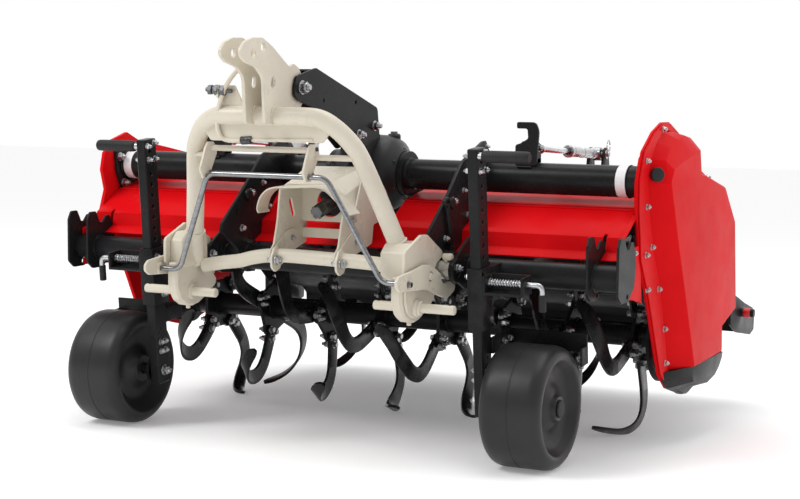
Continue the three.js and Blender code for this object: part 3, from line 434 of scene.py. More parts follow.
def plate(outline, holes, t0, t1, ch=0.8, place=None):
    """Flat plate with chamfered edges. place(u, v, t) -> point."""
    if t0 > t1:
        t0, t1 = t1, t0
    loops = [list(outline)] + [list(h) for h in holes]
    for i, lp in enumerate(loops):
        a = area2(lp)
        if (i == 0 and a < 0) or (i > 0 and a > 0):
            lp.reverse()
    verts, faces = [], []
    caps0, caps1 = [], []
    for lp in loops:
        small = offset_loop(lp, ch)
        base = len(verts)
        m = len(lp)
        for ring, t in ((small, t0), (lp, t0 + ch), (lp, t1 - ch), (small, t1)):
            verts.extend(place(x, y, t) for x, y in ring)
        for s in range(3):
            for k in range(m):
                j = (k + 1) % m
                a = base + s * m
                faces.append((a + k, a + j, a + m + j, a + m + k))
        caps0.append([(base + k, small[k]) for k in range(m)])
        caps1.append([(base + 3 * m + k, small[k]) for k in range(m)])
    for caps, flip in ((caps0, True), (caps1, False)):
        flat = [i for lp in caps for i, _ in lp]
        tris = tessellate_polygon([[Vector((x, y, 0)) for _, (x, y) in lp] for lp in caps])
        for t in tris:
            idx = tuple(flat[i] for i in t)
            faces.append(idx[::-1] if flip else idx)
    return verts, faces


def disc_loop(cx, cy, r, n=20):
    return [(cx + r * math.cos(2 * math.pi * k / n), cy + r * math.sin(2 * math.pi * k / n)) for k in range(n)]


def slot_loop(x0, y0, x1, y1, r, n=8):
    a = math.atan2(y1 - y0, x1 - x0)
    out = [(x1 + r * math.cos(a - math.pi / 2 + math.pi * k / n), y1 + r * math.sin(a - math.pi / 2 + math.pi * k / n)) for k in range(n + 1)]
    out += [(x0 + r * math.cos(a + math.pi / 2 + math.pi * k / n), y0 + r * math.sin(a + math.pi / 2 + math.pi * k / n)) for k in range(n + 1)]
    return out


def plate_x(outline, x0, x1, holes=(), ch=0.8, r=0.0, m=None):
    o = round_poly(outline, r) if r else outline
    f = (lambda y, z, x: Vector((x, y, z))) if m is None else (lambda y, z, x: m @ Vector((x, y, z)))
    return plate(o, holes, x0, x1, ch, f)


def plate_y(outline, y0, y1, holes=(), ch=0.8, r=0.0, m=None):
    o = round_poly(outline, r) if r else outline
    f = (lambda x, z, y: Vector((x, y, z))) if m is None else (lambda x, z, y: m @ Vector((x, y, z)))
    return plate(o, holes, y0, y1, ch, f)


def plate_z(outline, z0, z1, holes=(), ch=0.8, r=0.0, m=None):
    o = round_poly(outline, r) if r else outline
    f = (lambda x, y, z: Vector((x, y, z))) if m is None else (lambda x, y, z: m @ Vector((x, y, z)))
    return plate(o, holes, z0, z1, ch, f)


def block(x0, x1, y0, y1, z0, z1, ch=1.0, m=None, r=1.5):
    return plate_z([(x0, y0), (x1, y0), (x1, y1), (x0, y1)], z0, z1, (), min(ch, (z1 - z0) * 0.4), r, m)


def hexhead(p, d, af=17.0, h=10.0, washer=1.0, thread=0.0, roll=0.0):
    """Bolt head: washer, hexagon with turned chamfer, from the face at p outwards along d."""
    s = Shape()
    R = af / math.sqrt(3)
    if washer:
        wr = af * 0.62 * (1.0 + 0.12)
        s.add(revolve([(0, 0), (0, wr), (1.6, wr), (2.0, wr - 0.5), (2.0, 0)], 28, p, d))
    b = 2.0 if washer else 0.0
    s.add(revolve([(b, 0), (b, R), (b + h * 0.86, R), (b + h, R * 0.83), (b + h, 0)], 6, p, d, roll))
    s.add(revolve([(b + h * 0.80, af * 0.5), (b + h * 1.02, af * 0.46), (b + h * 1.02, 0)], 24, p, d, roll))
    if thread:
        r = af * 0.30
        prof = [(b + h, r)]
        k = b + h
        while k < b + h + thread:
            prof += [(k + 0.5, r * 0.9), (k + 1.1, r)]
            k += 1.2
        prof += [(k + 0.8, r * 0.8), (k + 0.8, 0)]
        s.add(revolve(prof, 14, p, d))
    return s.v, s.f


def weld(points, r=3.0, closed=False, sides=8, step=3.2):
    """Rippled bead along a line."""
    P = [Vector(p) for p in points]
    if closed:
        P.append(P[0])
    out, rad, acc = [], [], 0.0
    for a, b in zip(P, P[1:]):
        L = (b - a).length
        n = max(1, int(L / 1.6))
        for k in range(n):
            t = k / n
            out.append(a + (b - a) * t)
            s = acc + L * t
            rad.append(r * (0.93 + 0.10 * abs(math.sin(math.pi * s / step))))
        acc += L
    out.append(P[-1])
    rad.append(r)
    return sweep(out, rad, sides, caps=not closed)


def ring_points(o, d, r, n=40):
    u, w, d = frame_of(d)
    o = Vector(o)
    return [o + (u * math.cos(2 * math.pi * k / n) + w * math.sin(2 * math.pi * k / n)) * r for k in range(n)]


def link(name, me, body, hides=()):
    o = bpy.data.objects.new(name, me)
    SCENE.collection.objects.link(o)
    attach(o, body)
    if hides:
        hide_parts(*hides)
    return o


def make(name, shape, body, mat, hides=(), angle=32.0):
    me = bpy.data.meshes.new(name)
    me.from_pydata([tuple(MM @ v) for v in shape.v], [], shape.f)
    bm = bmesh.new()
    bm.from_mesh(me)
    bmesh.ops.recalc_face_normals(bm, faces=bm.faces)
    bm.to_mesh(me)
    bm.free()
    me.materials.append(mat)
    me.shade_smooth()
    me.set_sharp_from_angle(angle=math.radians(angle))
    return link(name, me, body, hides)


def make_soft(name, shape, body, mat, hides=(), width=2.0, seg=3, angle=14.0, smooth=40.0):
    """A solid whose edges are rounded over."""
    me = bpy.data.meshes.new(name)
    me.from_pydata([tuple(MM @ v) for v in shape.v], [], shape.f)
    bm = bmesh.new()
    bm.from_mesh(me)
    bmesh.ops.remove_doubles(bm, verts=bm.verts, dist=2e-5)
    bmesh.ops.recalc_face_normals(bm, faces=bm.faces)
    sharp = [e for e in bm.edges if len(e.link_faces) == 2 and e.calc_face_angle(0.0) > math.radians(angle)]
    bmesh.ops.bevel(bm, geom=sharp, offset=width * 0.001, offset_type="OFFSET", segments=seg, profile=0.5, affect="EDGES", clamp_overlap=True)
    bmesh.ops.triangulate(bm, faces=[f for f in bm.faces if len(f.verts) > 4])
    bm.to_mesh(me)
    bm.free()
    me.materials.append(mat)
    me.shade_smooth()
    me.set_sharp_from_angle(angle=math.radians(smooth))
    return link(name, me, body, hides)


def paint_shade_on_faces(obj, mat, toward, least=0.25):
    """Faces that look along one of the given directions get the second material: painted shade on those faces."""
    me = obj.data
    me.materials.append(mat)
    dirs = [(MM.to_3x3() @ Vector(t)).normalized() for t in toward]
    for poly in me.polygons:
        if max(poly.normal.dot(d) for d in dirs) > least:
            poly.material_index = 1
    return obj


def refine(node, mat, width=1.0, seg=2, angle=28.0, slot=None, smooth=32.0):
    """The CAD shape with its edges broken and its round faces smoothed."""
    src = frame["nodes"][node]
    rec = frame["record"]
    body = src["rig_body"]
    if slot is None:
        slot = next(s["material_slot"] for s in rec["subparts"] if s["node"] == node)
    me = src.data.copy()
    me.materials.clear()
    bm = bmesh.new()
    bm.from_mesh(me)
    bmesh.ops.remove_doubles(bm, verts=bm.verts, dist=2e-5)
    bmesh.ops.dissolve_limit(bm, angle_limit=math.radians(0.6), verts=bm.verts, edges=bm.edges, use_dissolve_boundaries=False)
    bm.normal_update()
    sharp = [e for e in bm.edges if len(e.link_faces) == 2 and e.calc_face_angle(0.0) > math.radians(angle)]
    if width > 0 and sharp:
        bmesh.ops.bevel(bm, geom=sharp, offset=width * 0.001, offset_type="OFFSET", segments=seg, profile=0.5, affect="EDGES", clamp_overlap=True)
    bmesh.ops.triangulate(bm, faces=[f for f in bm.faces if len(f.verts) > 4])
    for f in bm.faces:
        f.smooth = True
    bm.to_mesh(me)
    bm.free()
    me.materials.append(mat)
    me.shade_smooth()
    me.set_sharp_from_angle(angle=math.radians(smooth))
    return link(node + "_look", me, body, (node,))

# ------------------------------------------------------------------ cross tube and gear case
F = "frame"
s = Shape()
for x0, x1 in ((-SIDE_X + 9, GB - 98.3), (GB + 92.3, 744.6)):
    s.add(pipe((x0, 0, TUBE_Z), (x1, 0, TUBE_Z), TUBE_R, TUBE_R - 6, 72))
for x0, x1, sg in ((GB - 98.3, GB - 112, -1), (GB + 92.3, GB + 107, 1)):
    s.add(revolve([(0, TUBE_R - 2), (0, 57), (1.5, 58), (12.5, 58), (14, 56.5), (14, 42), (17, 39.2), (22, TUBE_R - 1)], 64, (x0, 0, TUBE_Z), (sg, 0, 0)))
flange = round_poly([(-62, 700), (-20, 706), (42, 690), (60, 640), (34, 594), (-36, 590), (-58, 640)], 11)
s.add(plate_x(flange, -SIDE_X + 0.4, -SIDE_X + 9, [disc_loop(0, TUBE_Z, TUBE_R - 7, 48)], 1.0))
s.add(weld(ring_points((-SIDE_X + 11, 0, TUBE_Z), (1, 0, 0), TUBE_R + 0.8, 60), 3.2, True))
s.add(weld(ring_points((717, 0, TUBE_Z), (1, 0, 0), TUBE_R + 0.2, 60), 2.2, True))
make("cross_tube", s, F, BLACK, ("main_tube_left", "main_tube_right"))
s = Shape()
for x0, x1 in ((-741, -716), (690, 718)):
    s.add(revolve([(0, TUBE_R), (0.3, TUBE_R + 0.45), (x1 - x0 - 0.3, TUBE_R + 0.45), (x1 - x0, TUBE_R)], 72, (x0, 0, TUBE_Z), (1, 0, 0)))
make("reflector_bands", s, F, WHITE)
s = Shape()
for (y, z) in ((-44, 676), (-28, 604), (30, 690), (38, 620)):
    s.add(hexhead((-SIDE_X + 9, y, z), (1, 0, 0), 17, 9, thread=8, roll=y))
make("tube_flange_bolts", s, F, ZINC)

s = Shape()
C = (GB, 0, TUBE_Z)
s.add(revolve([(-98, 0), (-98, 57), (-96, 60), (-86, 62), (-80, 66), (-74, 76), (-66, 87), (-50, 94), (-20, 97.5), (14, 98), (40, 97), (56, 93), (70, 86), (78, 75), (84, 66), (90, 62), (92, 59), (92, 0)], 72, C, (1, 0, 0)))
s.add(revolve([(-70, 55), (40, 56), (45, 60), (47, 65), (60, 66), (62, 65), (62, 22)], 56, tuple(in_at(0)), tuple(IN_DIR)))
s.add(revolve([(62, 22), (60, 24), (30, 24), (30, 15)], 40, tuple(in_at(0)), tuple(IN_DIR)))
s.add(block(GB - 35.8, GB + 35.8, -116, -30, TUBE_Z + 40, TUBE_Z + 103, 3, None, 6))
for x, r in ((-80, 72), (76, 72)):
    for k in range(6):
        a = 2 * math.pi * k / 6 + 0.5
        p = (GB + x, (r - 14) * math.cos(a), TUBE_Z + (r - 14) * math.sin(a))
        s.add(cyl(p, (GB + x + (14 if x > 0 else -14), p[1], p[2]), 8.5, 20, 1.5))
s.add(revolve([(0, 15), (0, 17), (18, 17), (22, 14), (22, 0)], 32, (GB + 48, 20, TUBE_Z + 78), (0, 0, 1)))
make("gear_case", s, F, CAST, ("gearbox",), 30)
s = Shape()
for k in range(6):
    a = 2 * math.pi * k / 6 + 0.3
    u, w, d = frame_of(IN_DIR)
    p = in_at(62) + (u * math.cos(a) + w * math.sin(a)) * 57
    s.add(hexhead(p, IN_DIR, 10, 6, washer=1, roll=a))
s.add(revolve([(0, 9), (6, 9), (7, 8), (7, 0)], 6, (GB + 48, 20, TUBE_Z + 99), (0, 0, 1)))
make("gear_case_bolts", s, F, DARKSTEEL)
s = Shape()
L = 196
for k in range(1):
    s.add(revolve([(26, 14), (150, 14), (156, 16)], 48, tuple(in_at(0)), tuple(IN_DIR)))
ring = []
for k in range(6):
    for da, r in ((-0.30, 17.2), (-0.16, 17.3), (0.16, 17.3), (0.30, 17.2), (0.36, 14.7), (0.69, 14.7)):
        ring.append((2 * math.pi * k / 6 + da, r))
u, w, d = frame_of(IN_DIR)
verts, faces = [], []
stations = [(88, 1.0), (168, 1.0), (169, 0.93), (176, 0.93), (177, 1.0), (193.5, 1.0), (196, 0.90)]
for t, k in stations:
    for a, r in ring:
        rr = r * k
        verts.append(in_at(t) + (u * math.cos(a) + w * math.sin(a)) * rr)
m = len(ring)
for i in range(len(stations) - 1):
    for k in range(m):
        j = (k + 1) % m
        faces.append((i * m + k, i * m + j, (i + 1) * m + j, (i + 1) * m + k))
faces.append(tuple(range((len(stations) - 1) * m, len(stations) * m)))
faces.append(tuple(reversed(range(m))))
s.add((verts, faces))
s.add(revolve([(62, 15), (63, 19), (84, 19), (86, 17), (88, 14)], 48, tuple(in_at(0)), tuple(IN_DIR)))
make("spline_shaft", s, "input_shaft", DARKSTEEL, ("input_shaft",), 28)

# ------------------------------------------------------------------ chain side and plain side
refine("chain_case", RED, 1.2, 2)
base = [(150, 176), (84, 389), (30, 480), (-8, 596), (-10, 660), (4, 710), (40, 748), (88, 772), (138, 771), (200, 748), (286, 706), (306, 664), (330, 658), (494, 610), (588, 508), (612, 290), (502, 246), (498, 162), (300, 160)]
edge = [(805, 234, 172), (805, 141, 388), (805, 99, 480), (804, 50, 594), (803, 26, 650), (792, 34, 704), (785, 92, 732), (785, 150, 747), (785, 198, 757), (786, 240, 750), (800, 263, 722), (804, 274, 660), (804, 306, 654), (804, 482, 611), (804, 574, 513), (804, 597, 275), (804, 474, 241), (804, 477, 175), (804, 300, 171)]
face = [(238, 176), (145, 390), (103, 481), (55, 596), (32, 652), (54, 682), (100, 692), (150, 701), (196, 710), (234, 717), (256, 719), (269, 655), (303, 650), (477, 607), (569, 511), (592, 279), (469, 246), (472, 180), (300, 176)]
s = Shape()
n = len(base)
verts = [(763.4, y, z) for y, z in base] + list(edge) + [(808, y, z) for y, z in face]
faces = [(k + r * n, (k + 1) % n + r * n, (k + 1) % n + (r + 1) * n, k + (r + 1) * n) for r in (0, 1) for k in range(n)]
for ring, r in ((base, 0), (face, 2)):
    for t in tessellate_polygon([[Vector((y, z, 0)) for y, z in ring]]):
        faces.append(tuple(i + r * n for i in t))
s.add((verts, faces))
make_soft("case_cover", s, F, RED, ("chain_case_cover",), 3.2, 4, 9.0, 60.0)
case_rim = [(92, 172), (-2, 372), (-62, 470), (-80, 596), (-80, 660), (-50, 729), (20, 772), (85, 793), (140, 792), (205, 766), (300, 722), (322, 672), (385, 664), (500, 622), (604, 514), (626, 296), (506, 146), (300, 120), (150, 128)]
s = Shape()
lip_out = round_poly(offset_loop(case_rim, 3 if area2(case_rim) > 0 else -3), 26, 5)
s.add(plate_x(lip_out, 763.6, 767.4, [round_poly([(y, z) for y, z in base], 8, 3)], 0.8))
make("cover_lip", s, F, RED)
s = Shape()
ring0 = [(104, 174), (116, 150), (146, 128), (200, 112), (300, 104), (400, 108), (452, 120), (486, 142), (496, 174)]
ring1 = [(236, 174), (222, 152), (242, 134), (298, 121), (354, 113), (420, 123), (456, 140), (480, 160), (486, 174)]
m = len(ring0)
verts = [(764, y, z) for y, z in ring0] + [(806, y, z) for y, z in ring1]
faces = [(k, (k + 1) % m, (k + 1) % m + m, k + m) for k in range(m)] + [tuple(range(m)), tuple(range(m, 2 * m))]
s.add((verts, faces))
shoe = round_poly([(100, 200), (108, 182), (138, 158), (180, 132), (223, 112), (280, 91), (321, 86), (389, 99), (440, 116), (500, 146), (500, 176)], [6, 20, 30, 30, 30, 30, 30, 30, 30, 10, 6], 4)
s.add(plate_x(shoe, 744.5, 765.5, (), 4.0))
make_soft("case_belly", s, F, BLACK, ("case_skid",), 4.0, 3, 20.0, 50.0)
# painted shade meant for the plate's inner face; the 2.0 limit is never reached, so every face stays red
paint_shade_on_faces(refine("side_plate_left", RED, 1.5, 2), SHADE_AND_SEAM_BLACK, [(1, 0, 0)], 2.0)
# painted shade: the hood's underside faces take the near-black shade material
paint_shade_on_faces(refine("hood", RED, 0.7, 2), SHADE_AND_SEAM_BLACK, [(0, 0.25, -1), (0, 0.6, -0.6)], 0.55)
s = Shape()
for i, (y, z) in enumerate([(83, 777), (-32, 706), (-28, 597), (-30, 482), (10, 497), (64, 389), (112, 284), (126, 197), (222, 751), (330, 670), (440, 638), (556, 552), (610, 470), (616, 380), (618, 306), (562, 222), (500, 157)]):
    s.add(hexhead((767.4, y, z), (1, 0, 0), 11, 6, thread=2, roll=i * 0.7))
for i, (y, z) in enumerate([(-104, 494), (-8, 396)]):
    s.add(hexhead((763.2, y, z), (1, 0, 0), 12, 6, thread=2, roll=i))
make("case_bolts", s, F, ZINC)
s = Shape()
d = Vector((0.70, -0.71, 0.05)).normalized()
s.add(revolve([(-6, 0), (-6, 13), (0, 13), (0, 16.5), (1.4, 17.6), (6, 17.6), (8, 16), (9, 12), (9, 0)], 48, (781, 2, 672), tuple(d)))
make("filler_plug", s, F, RUBBER)
s = Shape()
s.add(revolve([(-4, 0), (-4, 7), (0, 8.5), (2.5, 8.5), (3.4, 7.6), (3.4, 0)], 28, (804.5, 345, 602), (1, 0, 0)))
make("cover_drain_bolt", s, F, REDCAP)

# bearing housing on the plain side
s = Shape()
c = (-SIDE_X - 6, ROTOR_Y, ROTOR_Z)
s.add(revolve([(0, 62), (3, 62), (6, 60), (14, 50), (17, 47), (18.5, 44), (18.5, 22), (20, 20), (20, 0)], 64, c, (-1, 0, 0)))
make("rotor_bearing_cap", s, F, CAST)
s = Shape()
for k in range(4):
    a = math.pi / 4 + k * math.pi / 2
    s.add(hexhead((-SIDE_X - 13.5, ROTOR_Y + 53 * math.cos(a), ROTOR_Z + 53 * math.sin(a)), (-1, 0, 0), 13, 6, washer=0, roll=a))
make("rotor_bearing_bolts", s, F, ZINC)

# ------------------------------------------------------------------ hood seam, braces
hood_line = [(-180, 481), (-146, 497), (-140, 531), (-38, 588), (40, 603), (150, 620), (280, 626), (360, 616), (398, 600)]


def strip_over(line, x0, x1, lift, t):
    pts_top, pts_bot = [], []
    P = [Vector(p) for p in line]
    for i, p in enumerate(P):
        d = (P[min(i + 1, len(P) - 1)] - P[max(i - 1, 0)]).normalized()
        n = Vector((-d.y, d.x))
        pts_bot.append(tuple(p + n * lift))
        pts_top.append(tuple(p + n * (lift + t)))
    return plate_x(pts_bot + pts_top[::-1], x0, x1, (), 0.35)


s = Shape()
lap = [(-44, 584.6), (-38, 588), (-20, 591.5), (0, 595.4), (20, 599.2), (34, 602)]
for x0, x1 in ((-SIDE_X + 10.2, GB - 116), (GB + 112, 744)):
    s.add(strip_over(lap, x0, x1, 1.7, 2.2))
make("hood_lap", s, F, RED)


refine("brace_left", BLACK, 0.9, 2)
refine("brace_right", BLACK, 0.9, 2)
for side, x in (("left", -235.0), ("right", 335.0)):
    s = Shape()
    for i, (y, z, af) in enumerate(((-198, 606, 17), (-138, 628, 11), (-112, 566, 13), (-240, 520, 14), (-6, 728, 9))):
        s.add(hexhead((x + 4, y, z), (1, 0, 0), af, af * 0.5, thread=3, roll=y))
        s.add(hexhead((x - 4, y, z), (-1, 0, 0), af, af * 0.5, thread=4, roll=z))
    make("brace_bolts_" + side, s, F, ZINC)
    s = Shape()
    if side == "right":
        s.add(cyl((x + 12, -248, 606), (x + 12, -222, 500), 6.0, 24, 2.0))
        s.add(revolve([(0, 7), (0, 11), (2, 12.5), (9, 12.5), (11, 11), (11, 7)], 32, (x + 6, -248, 608), (1, 0, 0)))
        s.add(cyl((x - 4, -222, 498), (x + 18, -222, 498), 8.0, 24, 1.5))
    s.add(revolve([(0, 0), (0, 12), (2, 14), (9, 14), (12, 11), (12, 0)], 32, (x + 4, -216, 604), (1, 0, 0)))
    make("brace_link_" + side, s, F, BLACK)

# ------------------------------------------------------------------ front beam and end brackets
s = Shape()
s.add(cyl((-763.6, BEAM_Y, BEAM_Z), (776, BEAM_Y, BEAM_Z), BEAM_R, 64, 0.9))
for x in (-709.2, -701.4, 701.4, 709.2, 775.6, -239, -231, 331, 339, -300, -292, 384, 392):
    s.add(weld(ring_points((x, BEAM_Y, BEAM_Z), (1, 0, 0), BEAM_R + 0.4, 52), 2.4, True))
make("beam", s, F, BLACK, ("front_beam",))
hook = [(BEAM_Y + y, BEAM_Z + z + 22) for y, z in ((-56, -57), (-34, -75), (10, -75), (50, -47), (62, 5), (58, 35), (42, 62), (28, 62), (12, 46), (0, 45), (-17, 76), (-42, 76), (-54, 55))]
for side, sx in (("left", -1), ("right", 1)):
    s = Shape()
    for a, b in ((702, 708.6), (776, 782.6) if sx > 0 else (763.6, 770.2)):
        x0, x1 = sorted((sx * a, sx * b))
        s.add(plate_x(round_poly(hook, [12, 14, 14, 14, 16, 14, 8, 7, 5, 5, 7, 9, 12], 5), x0, x1, [disc_loop(BEAM_Y + 4, BEAM_Z - 40, 5.5, 20)], 1.1))
    s.add(cyl((sx * 705, BEAM_Y + 18, BEAM_Z - 30), (sx * 766, BEAM_Y + 18, BEAM_Z - 30), 9, 24))
    make("hook_plates_" + side, s, F, BLACK, ("hook_bracket_" + side,))
    s = Shape()
    for y, z in ((-182, 413), (-156, 455)):
        s.add(hexhead((sx * 702.0, y, z), (-sx, 0, 0), 13, 7, thread=4, roll=y))
    make("hook_bolts_" + side, s, F, ZINC)
# ears with the short pins that the hitch frame latches on to
for side, x in (("left", -300.0), ("right", 384.0)):
    ear = [(COUPLE[0] + 27 * math.cos(math.radians(250 - 140 * k / 12)), COUPLE[1] + 27 * math.sin(math.radians(250 - 140 * k / 12))) for k in range(13)]
    ear += [(-262, 498), (-214, 524), (-186, 521), (-176, 492), (-172, 470), (-165, 420), (-190, 398), (-240, 404), (-270, 420)]
    s = Shape()
    s.add(plate_x(round_poly(ear, 6, 3), x, x + 8, (), 1.0))
    s.add(revolve([(0, 27.0), (0, 28.5), (3, 29.0), (12, 29.0), (13.5, 27.5), (13.5, 16), (12, 14), (12, 0)], 56, (x - 2, *COUPLE), (1, 0, 0)))
    make("pin_ear_" + side, s, F, BLACK, ("pin_bracket_" + side,))
    s = Shape()
    s.add(revolve([(0, 17), (0, 21.5), (1.2, 22.5), (42, 22.5), (44, 22.5)], 64, (x - 44, *COUPLE), (1, 0, 0)))
    s.add(revolve([(0, 17), (20, 17), (20, 0)], 40, (x - 44, *COUPLE), (1, 0, 0)))
    make("coupling_pin_" + side, s, F, ROD)
    s = Shape()
    s.add(hexhead((x + 10, COUPLE[0] - 4, COUPLE[1] + 6), (1, 0, 0), 15, 8, thread=5, roll=0.4))
    make("coupling_bolt_" + side, s, F, ZINC)
s = Shape()
s.add(revolve([(0, 0), (0, 6.5), (1.2, 8), (16, 8.6), (22, 8), (24, 6), (24.6, 0)], 36, (360, -292, 484), (1, 0, 0)))
s.add(cyl((366, -292, 478), (366, -288, 462), 4, 16))
make("latch_knob", s, F, CREAM)

# ------------------------------------------------------------------ hitch arch and mast
arch_half = [(300, -374, 447), (288.5, -397, 488), (250, -448, 630), (224, -485, 722), (207, -501, 757), (180, -518, 789), (145, -528, 811), (100, -533, 816.5)]
arch_pts = [(GB - x, y, z) for x, y, z in arch_half] + [(GB, -533, 816.5)] + [(GB + x, y, z) for x, y, z in reversed(arch_half)]
s = Shape()
s.add(sweep(smooth_line(arch_pts, 9), PIPE_R, 40))
gus = round_poly([(GB - 178, 790), (GB - 150, 757), (GB + 150, 757), (GB + 178, 790), (GB + 150, 802), (GB - 150, 802)], 10)
s.add(plate_y(gus, -531, -525, (), 0.9))
make("arch", s, F, CREAM, ("hitch_arch",))
mast = [(-579, 800), (-583, 852), (-586, 906), (-616, 929), (-662, 941), (-680, 953), (-682, 968), (-664, 985), (-630, 995), (-588, 995), (-545, 975), (-494, 942), (-470, 928), (-452, 936), (-430, 926), (-408, 900), (-404, 850), (-430, 826), (-468, 806), (-490, 794)]
mr = round_poly(mast, [6, 60, 30, 26, 14, 14, 14, 18, 26, 30, 30, 20, 16, 12, 14, 20, 22, 16, 12, 8], 5)
s = Shape()
for x in (GB + 26, GB - 26):
    s.add(plate_x(mr, x - 4.5, x + 4.5, [disc_loop(-629, 960, 10, 28), disc_loop(-586, 973, 10, 28), slot_loop(-545, 889, -543, 899, 8.5), disc_loop(-414, 880, 9, 24)], 1.0))
    for sg in (-1, 1):
        line = []
        for k in range(19):
            a = math.pi * (0.02 + 0.96 * k / 18)
            line.append((x + sg * 5.2, -533 + (PIPE_R + 1.2) * math.cos(a), 816.5 + (PIPE_R + 1.2) * math.sin(a)))
        s.add(weld(line, 2.6))
s.add(block(GB - 22, GB + 22, -476, -470, 800, 880, 0.8))
s.add(plate_y(round_poly([(-104, 834), (-100, 886), (-60, 886), (-34, 834), (-34, 828), (-104, 828)], 5), -536, -530, (), 0.7))
s.add(plate_x(round_poly([(-556, 858), (-530, 850), (-530, 886), (-556, 886)], 6), -99, -93, [disc_loop(-546, 874, 5, 16)], 0.7))
s.add(weld([(-102, -538, 836), (-36, -538, 837)], 2.2))
make("mast", s, F, CREAM, ("mast_plates",))
# bent operating rod beside the mast, with its nuts and return spring
s = Shape()
rodpts = [(-30, -538, 930), (-46, -542, 922), (-68, -547, 896), (-86, -548, 864), (-100, -546, 826), (-106, -540, 790), (-98, -534, 765), (-80, -531, 758), (-48, -530, 758)]
s.add(sweep(smooth_line(rodpts, 8), 5.4, 24))
s.add(cyl((-18, -530, 760), (146, -530, 764), 4.6, 20, 1.0))
make("operating_rod", s, F, CREAM)
s = Shape()
ax0 = Vector((-84, -546, 874))
axd = Vector((-1, -0.15, 0.05)).normalized()
for k, (af, h) in enumerate(((24, 8), (18, 5), (25, 8), (17, 5), (22, 9))):
    s.add(revolve([(0, 0), (0, af * 0.55), (h, af * 0.55), (h, 0)], 6 if k % 2 == 0 else 28, tuple(ax0 + axd * (k * 8.0 - 4)), tuple(axd), k * 0.5))
s.add(cyl(tuple(ax0 - axd * 22), tuple(ax0 + axd * 44), 5.0, 20, 1.0))
s.add(helix((-48, -530, 758), (-16, -530, 760), 8.0, 1.9, 7.5, 8, 18))
s.add(cyl((-50, -530, 758), (-16, -530, 760), 3.5, 16))
make("operating_nuts", s, F, DARKSTEEL)

stay = [(-465, 880), (-465, 863), (-450, 852), (-415, 841), (-349, 825), (-256, 801), (-134, 720), (-86, 728), (-42, 751), (-53, 822), (-362, 925), (-409, 916), (-456, 905)]
sr = round_poly(stay, [10, 10, 10, 8, 8, 10, 16, 16, 14, 16, 16, 16, 12], 5)
s = Shape()
for x in (GB + 36, GB - 36):
    s.add(plate_x(sr, x - 3, x + 3, [disc_loop(-328, 847, 4.5, 16), disc_loop(-168, 839, 4.5, 16)], 0.8))
top = strip_over([(-60, 823.5), (-130, 846), (-200, 869), (-290, 898), (-360, 922)][::-1], GB - 33, GB + 33, -4, 4)
s.add(top)
s.add(cyl((GB - 36, -330, 868), (GB + 36, -330, 868), 10, 28))
s.add(cyl((GB - 36, -205, 820), (GB + 36, -205, 820), 10, 28))
make("stay", s, F, BLACK, ("mast_stay",))
s = Shape()
for (y, z, af) in ((-430, 880, 24), (-153, 758, 19), (-70, 777, 19)):
    for sg in (-1, 1):
        s.add(hexhead((GB + sg * 39, y, z), (sg, 0, 0), af, af * 0.55, thread=6 if sg > 0 else 0, roll=y))
make("stay_bolts", s, F, ZINC)

